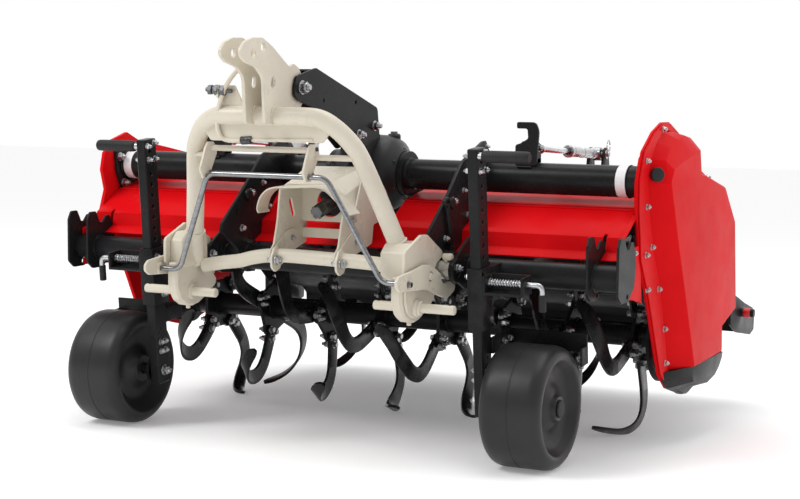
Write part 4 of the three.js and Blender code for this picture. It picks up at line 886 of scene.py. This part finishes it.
# lower hitch boxes, pins and cross tube
for side, sx in (("left", -1), ("right", 1)):
    def hx(a, b, sx=sx):
        return tuple(sorted((GB + sx * a, GB + sx * b)))

    s = Shape()
    s.add(plate_x(round_poly([(-454, 440), (-454, 506), (-430, 526), (-362, 526), (-344, 504), (-344, 440)], [8, 10, 12, 12, 10, 8], 4), *hx(256 if sx > 0 else 285, 324), (), 4.0))
    s.add(plate_x(round_poly([(-474, 452), (-472, 512), (-387, 543), (-354, 541), (-278, 497), (-272, 483), (-306, 470), (-322, 452), (-346, 434), (-440, 430)], [10, 14, 12, 14, 12, 7, 8, 10, 10, 10], 5), *hx(322, 330), (), 1.2))
    tongue = [(-471, 454), (-472, 392), (-457, 361), (-430, 345), (-402, 339.5), (-372, 344), (-336, 359), (-299, 379), (-292, 397), (-318, 422), (-343, 454)]
    s.add(plate_x(round_poly(tongue, [8, 24, 22, 22, 22, 22, 30, 12, 12, 20, 8], 5), *hx(292, 320), (), 5.0))
    inner = [(-462, 450), (-462, 394), (-449, 368), (-425, 354), (-402, 349), (-375, 353), (-345, 365), (-318, 382), (-312, 396), (-330, 418), (-352, 450)]
    s.add(plate_x(round_poly(inner, [8, 22, 20, 20, 20, 20, 28, 10, 10, 18, 8], 5), *hx(318, 326), (), 3.0))
    latch = [(-520, 427), (-537, 438), (-537, 453), (-524, 463), (-463, 468), (-401, 476), (-372, 474), (-345, 463), (-312, 446), (-309, 430), (-296, 420), (-262, 422), (-232, 410), (-240, 396), (-274, 384), (-303, 389), (-376, 414), (-400, 419)]
    s.add(plate_x(round_poly(latch, [12, 12, 12, 12, 20, 20, 20, 20, 6, 8, 8, 12, 8, 14, 20, 20, 20, 20], 5), *hx(336, 344), [disc_loop(-482, 440, 6.9, 24), disc_loop(-365, 445, 12.5, 32)], 1.2))
    s.add(cyl((GB + sx * 326, -367, 446), (GB + sx * 346, -367, 446), 8.8, 32, 2.0))
    s.add(cyl((GB + sx * 326, -432, 448), (GB + sx * 337, -432, 448), 9, 24, 1.0))
    s.add(revolve([(0, 7), (0, 13), (2, 14), (10, 14), (12, 13), (12, 7)], 36, (GB + sx * 330, -482, 440), (sx, 0, 0)))
    s.add(revolve([(-30, 20), (0, 20), (6, 21), (12, 20.5), (16, 19), (18, 16), (18, 0)], 48, (GB + sx * 318, PIN_Y, PIN_Z), (sx, 0, 0)))
    s.add(revolve([(0, 11), (0, 19), (3, 19.5), (6, 19.5), (8, 18), (8, 11)], 44, (GB + sx * 293, PIN_Y, PIN_Z), (-sx, 0, 0)))
    s.add(cyl((GB + sx * 306, -404, 344), (GB + sx * 306, -404, 333), 5.5, 20, 1.5))
    leg = [Vector((GB + sx * 288.5, -397, 488)), Vector((GB + sx * 250, -448, 630))]
    ld = (leg[1] - leg[0]).normalized()
    s.add(weld(ring_points(leg[0] + ld * 42, ld, PIPE_R + 1.2, 44), 3.0, True))
    make("hitch_box_" + side + "_look", s, F, CREAM, ("hitch_box_" + side,))
cross = [(-262, -372, 437), (-236, -366, 442), (-207, -364, 447), (-159, -364, 454), (-124, -364, 463), (-84, -364, 470), (-39, -364, 473), (11, -364, 473), (94, -364, 471), (200, -364, 468), (300, -372, 462)]
s = Shape()
s.add(sweep(smooth_line(cross, 9), 17, 36))
for x in (-50, 128):
    tab = round_poly([(-398, 470), (-396, 446), (-380, 434), (-360, 440), (-346, 462), (-362, 496), (-384, 494)], 9)
    s.add(plate_x(tab, x - 3, x + 3, (), 0.7))
    s.add(weld(ring_points((x - 4, -364, 471.5), (1, 0, 0), 17.6, 30), 2.0, True))
    s.add(weld(ring_points((x + 4, -364, 471), (1, 0, 0), 17.6, 30), 2.0, True))
make("cross_bar", s, F, CREAM, ("lower_cross_tube",))
s = Shape()
for x in (-50, 128):
    s.add(hexhead((x + 9, -386, 464), (1, 0, 0), 17, 8, thread=3, roll=x))
    s.add(hexhead((x - 3, -386, 464), (-1, 0, 0), 15, 6, thread=4, roll=x))
make("cross_bar_bolts", s, F, ZINC)
s = Shape()
for sx in (-1, 1):
    a, b = GB + sx * 219, GB + sx * 426
    s.add(cyl((a, PIN_Y, PIN_Z), (b, PIN_Y, PIN_Z), PIN_R, 40, 2.0))
    s.add(revolve([(0, PIN_R), (0, 17), (5, 17), (7, 15), (7, PIN_R)], 36, (GB + sx * 336, PIN_Y, PIN_Z), (sx, 0, 0)))
make("lower_pins", s, F, CREAM, ("hitch_pin_left", "hitch_pin_right"))
# painted shade: dark discs on top of the lower pins stand in for their cross holes; the pins are not bored
s = Shape()
for sx in (-1, 1):
    for x in (GB + sx * 231, GB + sx * 414):
        s.add(cyl((x, PIN_Y, PIN_Z + 7.5), (x, PIN_Y, PIN_Z + 11.25), 3.4, 16, 0.1))
make("lower_pin_hole_shade", s, F, RUBBER)

# release levers, their rod
refine("release_yoke", CREAM, 0.8, 2)
rod_path = [(352, -482, 440), (276, -482, 440), (160, -532, 679)]
pts = [(GB - x, y, z) for x, y, z in rod_path] + [(GB + x, y, z) for x, y, z in reversed(rod_path)]
s = Shape()
s.add(sweep(bend_line(pts, 22, 8), 6.5, 24))
make("release_bar", s, F, STEEL, ("release_rod",))
s = Shape()
for x in (-153, 125):
    for (y, z) in ((-516, 682), (-497, 741)):
        s.add(hexhead((x + 10 + 0.0, y, z), (1, 0, 0), 9, 4, washer=0, roll=y))
make("release_screws", s, F, DARKSTEEL)

# ------------------------------------------------------------------ input shield
def thick_line(line, t):
    """Closed outline of a bent sheet in (x, z)."""
    P = [Vector(q) for q in line]
    out = []
    for i, q in enumerate(P):
        d = (P[min(i + 1, len(P) - 1)] - P[max(i - 1, 0)]).normalized()
        out.append(tuple(q + Vector((-d.y, d.x)) * t))
    return [tuple(q) for q in P] + out[::-1]


def bend2(points, radius, n=5):
    return [(q.x, q.y) for q in bend_line([(x, z, 0) for x, z in points], radius, n)]


s = Shape()
mid = [(-76, 632.5), (42, 638), (62, 634), (84, 619)]
s.add(plate_y(thick_line(bend2(mid, 16, 5), 4), -342, -206, (), 1.0))
right = [(60, 634.5), (70, 630), (100, 604), (131, 573)]
s.add(plate_y(thick_line(bend2(right, 20, 6), 4), -342, -283, (), 1.0))
arcl = [(-72, 633), (-88, 629), (-102, 620), (-113, 607), (-119, 592), (-121, 580), (-117, 572)]
s.add(plate_y(thick_line([(q.x, q.y) for q in smooth_line([(x, z, 0) for x, z in arcl], 5)][::-1], 4), -342, -290, (), 1.0))
# raised cover over the neck
back_l = [(-86, 636), (-86, 662), (-68, 680), (92, 682), (119, 662), (119, 590), (60, 636)]
front_l = [(-80, 634), (-78, 638), (-66, 642), (44, 644), (92, 618), (119, 586), (60, 633)]
m = len(back_l)
verts = [(x, -192, z) for x, z in back_l] + [(x, -286, z) for x, z in front_l]
faces = [(k, (k + 1) % m, (k + 1) % m + m, k + m) for k in range(m)] + [tuple(range(m)), tuple(range(m, 2 * m))]
cover = Shape()
cover.add((verts, faces))
make_soft("shield_neck_cover", cover, F, CREAM, (), 2.0, 3, 12.0, 50.0)
side_r = [(-337, 589), (-352, 557), (-368, 500), (-386, 486), (-388, 462), (-374, 448), (-338, 448), (-300, 470), (-200, 494), (-192, 540), (-150, 546), (-114, 562), (-108, 590), (-126, 621), (-164, 656), (-212, 677), (-246, 668), (-280, 589)]
s.add(plate_x(round_poly(side_r, [6, 40, 20, 14, 14, 14, 14, 20, 10, 10, 20, 10, 30, 60, 60, 40, 20, 10], 5), 115.7, 120.7, [disc_loop(-132, 582, 5, 18), disc_loop(-300, 560, 5, 18)], 0.9))
side_l = [(-337, 633), (-350, 557), (-368, 500), (-386, 486), (-388, 462), (-374, 448), (-338, 448), (-300, 470), (-214, 492), (-208, 634)]
s.add(plate_x(round_poly(side_l, [4, 40, 20, 14, 14, 14, 14, 20, 10, 6], 5), -62.7, -57.7, [slot_loop(-290, 600, -276, 566, 7), disc_loop(-290, 508, 6.5, 20)], 0.9))
gus = [(-386, 462), (-380, 486), (-350, 508), (-318, 528), (-286, 534), (-262, 520), (-256, 494), (-300, 472), (-338, 448), (-372, 446)]
s.add(plate_x(round_poly(gus, 16, 5), -57.5, -53.5, [disc_loop(-290, 508, 6.5, 20)], 0.8))
s.add(plate_x(round_poly(gus, 16, 5), 121.0, 125.0, [disc_loop(-290, 508, 6.5, 20)], 0.8))
c, r0 = in_at(121), 36.0
s.add(plate_y(round_poly([(-60, 546), (-60, 640), (40, 644), (70, 632), (118, 594), (118, 546)], 4, 2), -232, -227.5, [disc_loop(GB, c.z, r0, 44)], 0.8))
s.add(plate_y([(-60, 505), (-60, 529), (118, 529), (118, 505)], -232, -227.5, (), 0.8))
s.add(weld([(-58, -333, 631), (-58, -214, 631)], 2.2))
make("shaft_shield", s, F, CREAM, ("input_shield",))
s = Shape()
for (x, y, z, d) in ((120.9, -132, 582, 1), (120.9, -300, 560, 1), (125.2, -290, 508, 1), (-53.3, -290, 508, 1)):
    s.add(hexhead((x, y, z), (d, 0, 0), 11, 5, washer=1, thread=2, roll=z))
make("shield_bolts", s, F, ZINC)

# ------------------------------------------------------------------ gauge posts, sleeves, latch pins
OUTER = POST_X + POST_W / 2
for side, sx in (("left", -1), ("right", 1)):
    body = "gauge_post_" + side

    def X(v, sx=sx):
        return sx * v

    def span(a, b):
        return tuple(sorted((X(a), X(b))))

    s = Shape()
    x0, x1 = span(POST_X - POST_W / 2, OUTER)
    # hollow-looking box bar with a real hole row on both side faces
    prof = [(-POST_D / 2, -34), (POST_D / 2, -34), (POST_D / 2, 600), (-POST_D / 2, 600)]
    holes = [disc_loop(-2, 345 + 28 * i, 5, 20) for i in range(9)]
    s.add(plate_x(round_poly(prof, 4, 4), x0, x1, holes, 2.2), POST)
    s.add(cyl((X(OUTER - 1), 0, 0), (X(612), 0, 0), 12, 32), POST)
    s.add(revolve([(0, 32), (9, 32), (11, 30), (11, 18), (19, 18), (19, 12)], 40, (X(OUTER), 0, 0), (sx, 0, 0)), POST)
    s.add(block(*span(OUTER - 2, OUTER + 8), 20, 132, 112, 150, 1.2, None, 3), POST)
    s.add(block(*span(OUTER, 674), 126, 132, 104, 150, 1.0, None, 5), POST)
    s.add(block(*span(668, 674), 92, 132, 78, 122, 1.0, None, 4), POST)
    s.add(weld([(X(OUTER + 0.5), -18, -24), (X(OUTER + 0.5), 18, -24)], 2.2), POST)
    make("post_" + side, s, body, BLACK, ("gauge_post_" + side,))
    s = Shape()
    s.add(revolve([(0, 8), (0, 11), (4, 13.4), (8, 14), (110, 14), (114, 13), (116, 11), (116, 0)], 40, (X(OUTER + 9), -14, 583), (sx, 0, 0)), POST)
    for k in range(13):
        s.add(revolve([(0, 13.6), (1.2, 14.35), (3.4, 14.35), (4.6, 13.6)], 40, (X(OUTER + 22 + k * 7), -14, 583), (sx, 0, 0)), POST)
    make("grip_" + side, s, body, RUBBER)
    s = Shape()
    s.add(revolve([(0, 9.5), (14, 9.5)], 24, (X(OUTER - 1), -14, 583), (sx, 0, 0)), POST)
    for (y, z) in ((-14, 583), (14, 589), (-12, 548), (14, 548)):
        s.add(hexhead((X(POST_X - POST_W / 2), y, z), (-sx, 0, 0), 12, 7, thread=4, roll=z), POST)
        if y > 0 or z < 570:
            s.add(hexhead((X(OUTER), y, z), (sx, 0, 0), 12, 7, thread=2, roll=y), POST)
    s.add(hexhead((X(OUTER + 8), 76, 131), (sx, 0, 0), 12, 7, thread=2), POST)
    s.add(hexhead((X(OUTER + 8), 110, 131), (sx, 0, 0), 12, 7, thread=2), POST)
    s.add(hexhead((X(POST_X - POST_W / 2), 0, 0), (-sx, 0, 0), 20, 11, thread=5), POST)
    make("post_bolts_" + side, s, body, ZINC)

    # wheel: moulded body with parting line, dished faces and hub
    s = Shape()
    w, r = WHEEL_W / 2, WHEEL_R
    prof = [(-w + 46, 13.4), (-w + 10, 13.4), (-w + 8, 16), (-w + 8, 32), (-w + 10, 35), (-w + 18, 38), (-w + 30, 52), (-w + 34, 60), (-w + 34, 80), (-w + 30, 88), (-w + 10, 108), (-w + 4.5, 114), (-w + 3.0, 119), (-w + 3.0, 124),
            (-w + 4, 129), (-w + 7, 134), (-w + 12, 139), (-w + 18, 142.4), (-w + 26, 144.4), (-w + 34, r), (-2.2, r), (-1.0, r - 1.0), (1.0, r - 1.0), (2.2, r), (w - 34, r), (w - 26, 144.4), (w - 18, 142.4), (w - 12, 139), (w - 7, 134), (w - 4, 129),
            (w - 3.0, 124), (w - 3.0, 119), (w - 4.5, 114), (w - 8, 110), (w - 24, 100), (w - 30, 92), (w - 34, 80), (w - 34, 62), (w - 31, 54), (w - 22, 42), (w - 20, 36), (w - 16, 32), (w - 10, 30), (w - 8, 28), (w - 8, 0)]
    c = Vector((X(WHEEL_X), WHEEL_Y, WHEEL_R))
    s.add(revolve(prof, 128, tuple(c), (sx, 0, 0)))
    make("wheel_" + side, s, "gauge_wheel_" + side, PLASTIC, ("gauge_wheel_" + side,), 30)
    s = Shape()
    s.add(revolve([(0, 20), (1.5, 21), (3.5, 21), (5.5, 19.5), (6.0, 17), (6.0, 0)], 48, (X(WHEEL_X + w - 8), WHEEL_Y, WHEEL_R), (sx, 0, 0)))
    make("hub_cap_" + side, s, "gauge_wheel_" + side, RUBBER)

    s = Shape()
    for dy in (-9, 9):
        for dz in (52, 76):
            s.add(hexhead((X(OUTER), dy, dz), (sx, 0, 0), 12, 6, washer=0), POST)
            s.add(hexhead((X(POST_X - POST_W / 2), dy, dz), (-sx, 0, 0), 12, 6, thread=3), POST)
    make("axle_bolts_" + side, s, body, ZINC)

    # sleeve on the beam
    refine("post_sleeve_" + side, BLACK, 1.0, 2)
    s = Shape()
    g, wall = 1.2, 5
    ox = OUTER + g + wall
    s.add(sweep(bend_line([(X(ox + 1), -6, 288), (X(618), -6, 288), (X(618), -6, 228)], 14, 8), 6.5, 20), POST)
    s.add(revolve([(0, 6.5), (0, 11), (3, 11), (3, 6.5)], 28, (X(ox + 9), -6, 288), (sx, 0, 0)), POST)
    s.add(revolve([(0, 6.5), (0, 11), (3, 11), (3, 6.5)], 28, (X(566), -6, 288), (sx, 0, 0)), POST)
    s.add(helix((X(ox + 12), -6, 288), (X(566), -6, 288), 8.4, 1.7, 10.5, 8, 22), POST)
    make("latch_handle_" + side, s, F, ZINC, ("latch_pin_" + side,))
    s = Shape()
    s.add(revolve([(0, 6.4), (0, 8), (1, 8.8), (38, 8.8), (40, 7.6), (40.6, 0)], 32, (X(618), -6, 267), (0, 0, -1)), POST)
    make("latch_grip_" + side, s, F, RUBBER)
    s = Shape()
    for z in (200, 300):
        s.add(hexhead((X(ox), 12, z), (sx, 0, 0), 10, 5, washer=0), POST)
    s.add(hexhead((X(440.8), 8, 200), (-sx, 0, 0), 13, 7, thread=4), POST)
    s.add(hexhead((X(440.8), -12, 300), (-sx, 0, 0), 13, 7, thread=4), POST)
    make("sleeve_screws_" + side, s, F, ZINC)

# ------------------------------------------------------------------ rotor
RC = Matrix.Translation((0, ROTOR_Y, ROTOR_Z))
s = Shape()
s.add(cyl((-730, ROTOR_Y, ROTOR_Z), (702, ROTOR_Y, ROTOR_Z), ROTOR_TUBE_R, 56, 1.0))
s.add(revolve([(0, 0), (0, 19), (1, 20), (39, 20), (39, 0)], 40, (-764, ROTOR_Y, ROTOR_Z), (1, 0, 0)))
s.add(revolve([(0, 0), (0, 22), (47, 22), (48, 21), (48, 0)], 40, (700, ROTOR_Y, ROTOR_Z), (1, 0, 0)))
s.add(revolve([(0, 0), (0, 113), (1, 114), (9, 114), (10, 113), (10, 0)], 96, (702, ROTOR_Y, ROTOR_Z), (1, 0, 0)))
s.add(revolve([(0, 0), (0, 59), (1, 60), (7, 60), (8, 59), (8, 0)], 64, (-738, ROTOR_Y, ROTOR_Z), (1, 0, 0)))
for x in FLANGE_X:
    for sg in (-1, 1):
        s.add(weld(ring_points((x + sg * 6.5, ROTOR_Y, ROTOR_Z), (1, 0, 0), ROTOR_TUBE_R + 1.0, 48), 3.0, True))
make("rotor_tube", s, "rotor", BLACK, ("rotor_shaft",))


def tine_mesh(side):
    st = [(58, 0, 0, 0, 46), (110, 0, 0, 0, 46), (165, 1.5, 0, 0, 44), (203, 6, 0, 4, 42), (229, 14, 2, 14, 40), (244, 24, 10, 34, 38), (252, 34, 28, 58, 36), (ROTOR_TIP_R - 11.0, 42, 52, 76, 34), (ROTOR_TIP_R - 9.2, 47, 78, 86, 26)]
    P, Wd, Nn = [], [], []
    for r, a, x, b, w in st:
        t = math.radians(a)
        P.append(Vector((side * x, r * math.sin(t), r * math.cos(t))))
    for i, (r, a, x, beta, w) in enumerate(st):
        t, b = math.radians(a), math.radians(beta)
        R = Vector((0, math.sin(t), math.cos(t)))
        T = (P[min(len(P) - 1, i + 1)] - P[max(0, i - 1)]).normalized()
        N = Vector((side, 0, 0)) * math.cos(b) - R * math.sin(b)
        N = (N - T * N.dot(T)).normalized()
        Nn.append(N)
    Pf = smooth_line(P, 6)
    Nf = smooth_line(Nn, 6)
    wf = smooth_line([(w, 0, 0) for *_, w in st], 6)
    verts, faces = [], []
    n = len(Pf)
    for i in range(n):
        T = (Pf[min(n - 1, i + 1)] - Pf[max(0, i - 1)]).normalized()
        N = (Nf[i] - T * Nf[i].dot(T)).normalized()
        Wv = T.cross(N).normalized()
        w = wf[i].x
        u = i / (n - 1)
        if u > 0.90:
            w *= math.sqrt(max(0.12, 1 - ((u - 0.90) / 0.10) ** 2 * 0.80))
        if u < 0.06:
            w *= 0.72 + 0.28 * (u / 0.06)
        h = 4.0
        edge = 0.35 + 0.65 * max(0.0, 1 - max(0.0, (u - 0.30)) * 2.2)
        sec = [(-0.5, -h * edge * 0.8), (-0.5, h * edge * 0.8), (-0.46, h * min(1, edge + .12)), (-0.30, h), (0.47, h), (0.5, h * 0.72), (0.5, -h * 0.72), (0.47, -h), (-0.30, -h), (-0.46, -h * min(1, edge + .12))]
        for a, b in sec:
            v = Pf[i] + Wv * (a * w) + N * b
            q = min(1.0, 260.9 / math.hypot(v.y, v.z))
            verts.append(Vector((v.x, v.y * q, v.z * q)))
    m = 10
    for i in range(n - 1):
        for k in range(m):
            j = (k + 1) % m
            faces.append((i * m + k, i * m + j, (i + 1) * m + j, (i + 1) * m + k))
    faces.append(tuple(range(m)))
    faces.append(tuple(range((n - 1) * m, n * m)))
    return verts, faces


flanges, tines, bolts = Shape(), Shape(), Shape()
for k, x in enumerate(FLANGE_X):
    turn = ROTOR_REST - ((k * 3) % 4) * 22.5
    H = Matrix.Translation((x, ROTOR_Y, ROTOR_Z)) @ Matrix.Rotation(math.radians(turn), 4, "X")
    out = []
    for i in range(4):
        c = i * math.pi / 2 + math.pi / 2
        for da, r in ((-0.42, 72), (-0.30, 83), (-0.16, 86), (0.16, 86), (0.30, 83), (0.42, 72)):
            out.append((r * math.cos(c + da), r * math.sin(c + da)))
    flanges.add(plate_x(round_poly(out, 5, 3), -5, 5, [disc_loop(0, 0, ROTOR_TUBE_R + 0.1, 40)], 1.0), H)
    for i in range(4):
        sd = 1 if i % 2 == 0 else -1
        if k == len(FLANGE_X) - 1:
            sd = -1
        if k == 0:
            sd = 1
        Ri = Matrix.Rotation(math.radians(i * 90), 4, "X")
        tines.add(tine_mesh(sd), H @ Ri @ Matrix.Translation((sd * 8.5 + sd * 0.6, 0, 0)))
        for (y, z) in ((-11, 70), (11, 70), (0, 94)):
            bolts.add(hexhead((sd * 13.1, y, z), (sd, 0, 0), 15, 9, washer=1, roll=k + y), H @ Ri)
            bolts.add(hexhead((-sd * 5.0, y, z), (-sd, 0, 0), 15, 10, washer=1, thread=6, roll=i + y), H @ Ri)
make("tine_holders", flanges, "rotor", BLACK, tuple("tine_flange_%d" % i for i in range(1, 9)))
make("tines", tines, "rotor", TINE, (), 40)
make("tine_bolts", bolts, "rotor", BOLT)

# ------------------------------------------------------------------ rear board
# painted shade: the board's inner faces are black and take a darker, rougher black that stands in for their shade
board = paint_shade_on_faces(refine("rear_board", RED, 0.8, 2), SHADE_AND_SEAM_BLACK, [(0, -0.6, -0.7), (0, -1, 0.0)], 0.55)
board.data.materials.append(BLACK)
to_machine = MM.inverted()
for poly in board.data.polygons:
    if (to_machine @ poly.center).z > 603:
        poly.material_index = 2
# seam along the hood's upper fold
s = Shape()
for x0, x1 in ((-755, -98), (134, 743)):
    s.add(cyl((x0, -38.4, 591.0), (x1, -38.4, 591.0), 1.5, 10))
make("hood_seam", s, F, SHADE_AND_SEAM_BLACK)
s = Shape()
s.add(strip_over([(-181, 482.5), (-147.5, 498.5), (-141.5, 532.5), (-58, 579)], 744.4, 756.8, -1.5, 1.5))
make("hood_end", s, F, RED)
refine("board_end_left", BLACK, 1.0, 2)
refine("board_end_right", BLACK, 1.0, 2)
s = Shape()
n = 11
for i in range(n):
    x0 = -700 + i * (1390 / n)
    if i % 2 == 0:
        s.add(pipe((x0, APRON[0], APRON[1]), (x0 + 1390 / n - 2, APRON[0], APRON[1]), 13.5, 6, 36, 0.8))
make("board_knuckles", s, "rear_board", BLACK)
s = Shape()
s.add(cyl((-722, APRON[0], APRON[1]), (736, APRON[0], APRON[1]), 5.6, 24))
make("hinge_rod", s, F, DARKSTEEL)
s = Shape()
s.add(revolve([(0, 0), (0, 12.5), (1.5, 14), (16, 14), (20, 12), (22, 8), (22, 0)], 36, (756, 850, 226), (1, 0, 0)))
make("red_stop_cap", s, "rear_board", REDCAP)

# ------------------------------------------------------------------ pressure struts
for side, sx in (("left", -1), ("right", 1)):
    x = sx * STRUT_X
    A, B = Vector((x, *A_YZ)), Vector((x, *B_YZ))
    U = (B - A).normalized()

    def at(t, A=A, U=U):
        return A + U * t

    s = Shape()
    hk = [(x - 26, 686), (x + 30, 686), (x + 36, 770), (x + 28, 792), (x - 22, 792), (x - 22, 776), (x + 6, 776), (x + 8, 752), (x - 12, 740), (x - 26, 736)]
    s.add(plate_y(round_poly(hk, [3, 3, 30, 14, 5, 5, 6, 8, 10, 8], 5), -26, -18, (), 0.9))
    for d in (-19, 13):
        s.add(plate_x(round_poly([(-22, 690), (-22, 735), (4, 744), (28, 738), (34, 720), (30, 686)], 10), x + d, x + d + 6, [disc_loop(A.y, A.z, 6.2, 20)], 0.8))
    s.add(block(x - 19, x + 19, -26, 34, TUBE_Z + 36.5, 702, 1.0, None, 3))
    s.add(weld([(x - 19, -30, 683), (x + 19, -30, 683)], 3.0))
    s.add(weld([(x - 19, 36, 680), (x + 19, 36, 680)], 3.0))
    make("strut_bracket_" + side, s, F, BLACK, ("strut_hook_" + side,))
    s = Shape()
    s.add(hexhead((x + 19, A.y, A.z), (1, 0, 0), 13, 7, thread=4))
    s.add(hexhead((x - 19, A.y, A.z), (-1, 0, 0), 13, 7))
    s.add(cyl((x - 19, A.y, A.z), (x + 19, A.y, A.z), 6, 24))
    make("strut_bracket_bolt_" + side, s, F, ZINC)
    s = Shape()
    s.add(pipe((x - 11, A.y, A.z), (x + 11, A.y, A.z), 13, 7.2, 40))
    s.add(cyl(at(8), at(338), 8, 36))
    s.add(revolve([(0, 8), (0, 12), (1.4, 13), (7, 13), (8.4, 12), (8.4, 8)], 36, tuple(at(52)), tuple(U)))
    make("strut_bar_" + side, s, "strut_rod_" + side, ROD, ("strut_rod_" + side,))
    s = Shape()
    s.add(revolve([(0, 8.8), (0, 14), (2, 16.5), (12, 16.5), (14, 14.5), (14, 8.8)], 40, tuple(at(242)), tuple(U)))
    s.add(revolve([(0, 13.2), (0.6, 13.5), (170, 13.5), (173, 12.5), (176, 10), (180, 9), (186, 9)], 48, tuple(at(256)), tuple(U)))
    for k in range(3):
        s.add(revolve([(0, 13.5), (1, 14.4), (3, 14.4), (4, 13.5)], 40, tuple(at(266 + k * 70)), tuple(U)))
    s.add(pipe((x - 10, B.y, B.z), (x + 10, B.y, B.z), 18, 12.4, 44, 0.8))
    make("strut_tube_" + side, s, "strut_sleeve_" + side, ZINC, ("strut_sleeve_" + side,))
    s = Shape()
    s.add(revolve([(0, 8), (0, 10), (6, 10), (8, 8)], 6, tuple(at(228)), tuple(U)))
    make("strut_nut_" + side, s, "strut_rod_" + side, DARKSTEEL)
    s = Shape()
    s.add(cyl((x - 33, B.y, B.z), (x + 33, B.y, B.z), 6.6, 24))
    for sg in (-1, 1):
        s.add(revolve([(0, 6.6), (0, 13), (2.4, 13), (2.4, 6.6)], 32, (x + sg * 24.2, B.y, B.z), (sg, 0, 0)))
    s.add(hexhead((x - 26.8, B.y, B.z), (-1, 0, 0), 16, 8, washer=0))
    rp = ring_points((x + 30, B.y, B.z + 19), (1, 0.15, 0), 19, 44)
    s.add(sweep(rp[2:] + rp[:1], 1.5, 10))
    make("strut_pin_" + side, s, "rear_board", ZINC)

# ------------------------------------------------------------------ stage
bm = bmesh.new()
bmesh.ops.create_grid(bm, x_segments=1, y_segments=1, size=30.0)
me = bpy.data.meshes.new("floor")
bm.to_mesh(me)
bm.free()
floor = bpy.data.objects.new("floor", me)
SCENE.collection.objects.link(floor)
m, nt, p = new_mat("floor")
p.inputs["Emission Color"].default_value = (1, 1, 1, 1)
p.inputs["Emission Strength"].default_value = 0.19
p.inputs["Base Color"].default_value = (0.92, 0.92, 0.92, 1)
p.inputs["Roughness"].default_value = 0.9
p.inputs["Specular IOR Level"].default_value = 0.1
me.materials.append(m)

world = bpy.data.worlds.new("studio")
SCENE.world = world
world.use_nodes = True
wt = world.node_tree
sky = wt.nodes.new("ShaderNodeTexCoord")
axes = wt.nodes.new("ShaderNodeSeparateXYZ")
wt.links.new(sky.outputs["Generated"], axes.inputs[0])
fade = wt.nodes.new("ShaderNodeMapRange")
fade.interpolation_type = "SMOOTHSTEP"
fade.inputs["From Min"].default_value = -0.75
fade.inputs["From Max"].default_value = 0.35
fade.inputs["To Min"].default_value = 0.52
fade.inputs["To Max"].default_value = 1.0
wt.links.new(axes.outputs["Y"], fade.inputs["Value"])
wt.links.new(fade.outputs["Result"], wt.nodes["Background"].inputs["Strength"])
wt.nodes["Background"].inputs["Color"].default_value = (1.0, 1.0, 1.0, 1)


def area(name, loc, target, size, power, colour=(1, 1, 1)):
    d = bpy.data.lights.new(name, "AREA")
    d.shape = "RECTANGLE"
    d.size, d.size_y = size
    d.energy = power
    d.color = colour
    o = bpy.data.objects.new(name, d)
    SCENE.collection.objects.link(o)
    o.location = loc
    o.rotation_euler = (Vector(target) - Vector(loc)).to_track_quat("-Z", "Y").to_euler()
    return o


SCENE.view_settings.view_transform = "Standard"
area("key", (-2.4, -3.2, 4.2), (0, 0, 0.4), (2.0, 2.0), 118)
area("top", (0.3, 0.4, 4.6), (0, 0, 0.4), (3.6, 2.2), 60)
area("fill", (4.2, 2.4, 3.0), (0.3, 0, 0.4), (2.0, 2.0), 14)
area("back", (0.5, 4.5, 2.8), (0, 0, 0.5), (3.0, 1.6), 8)
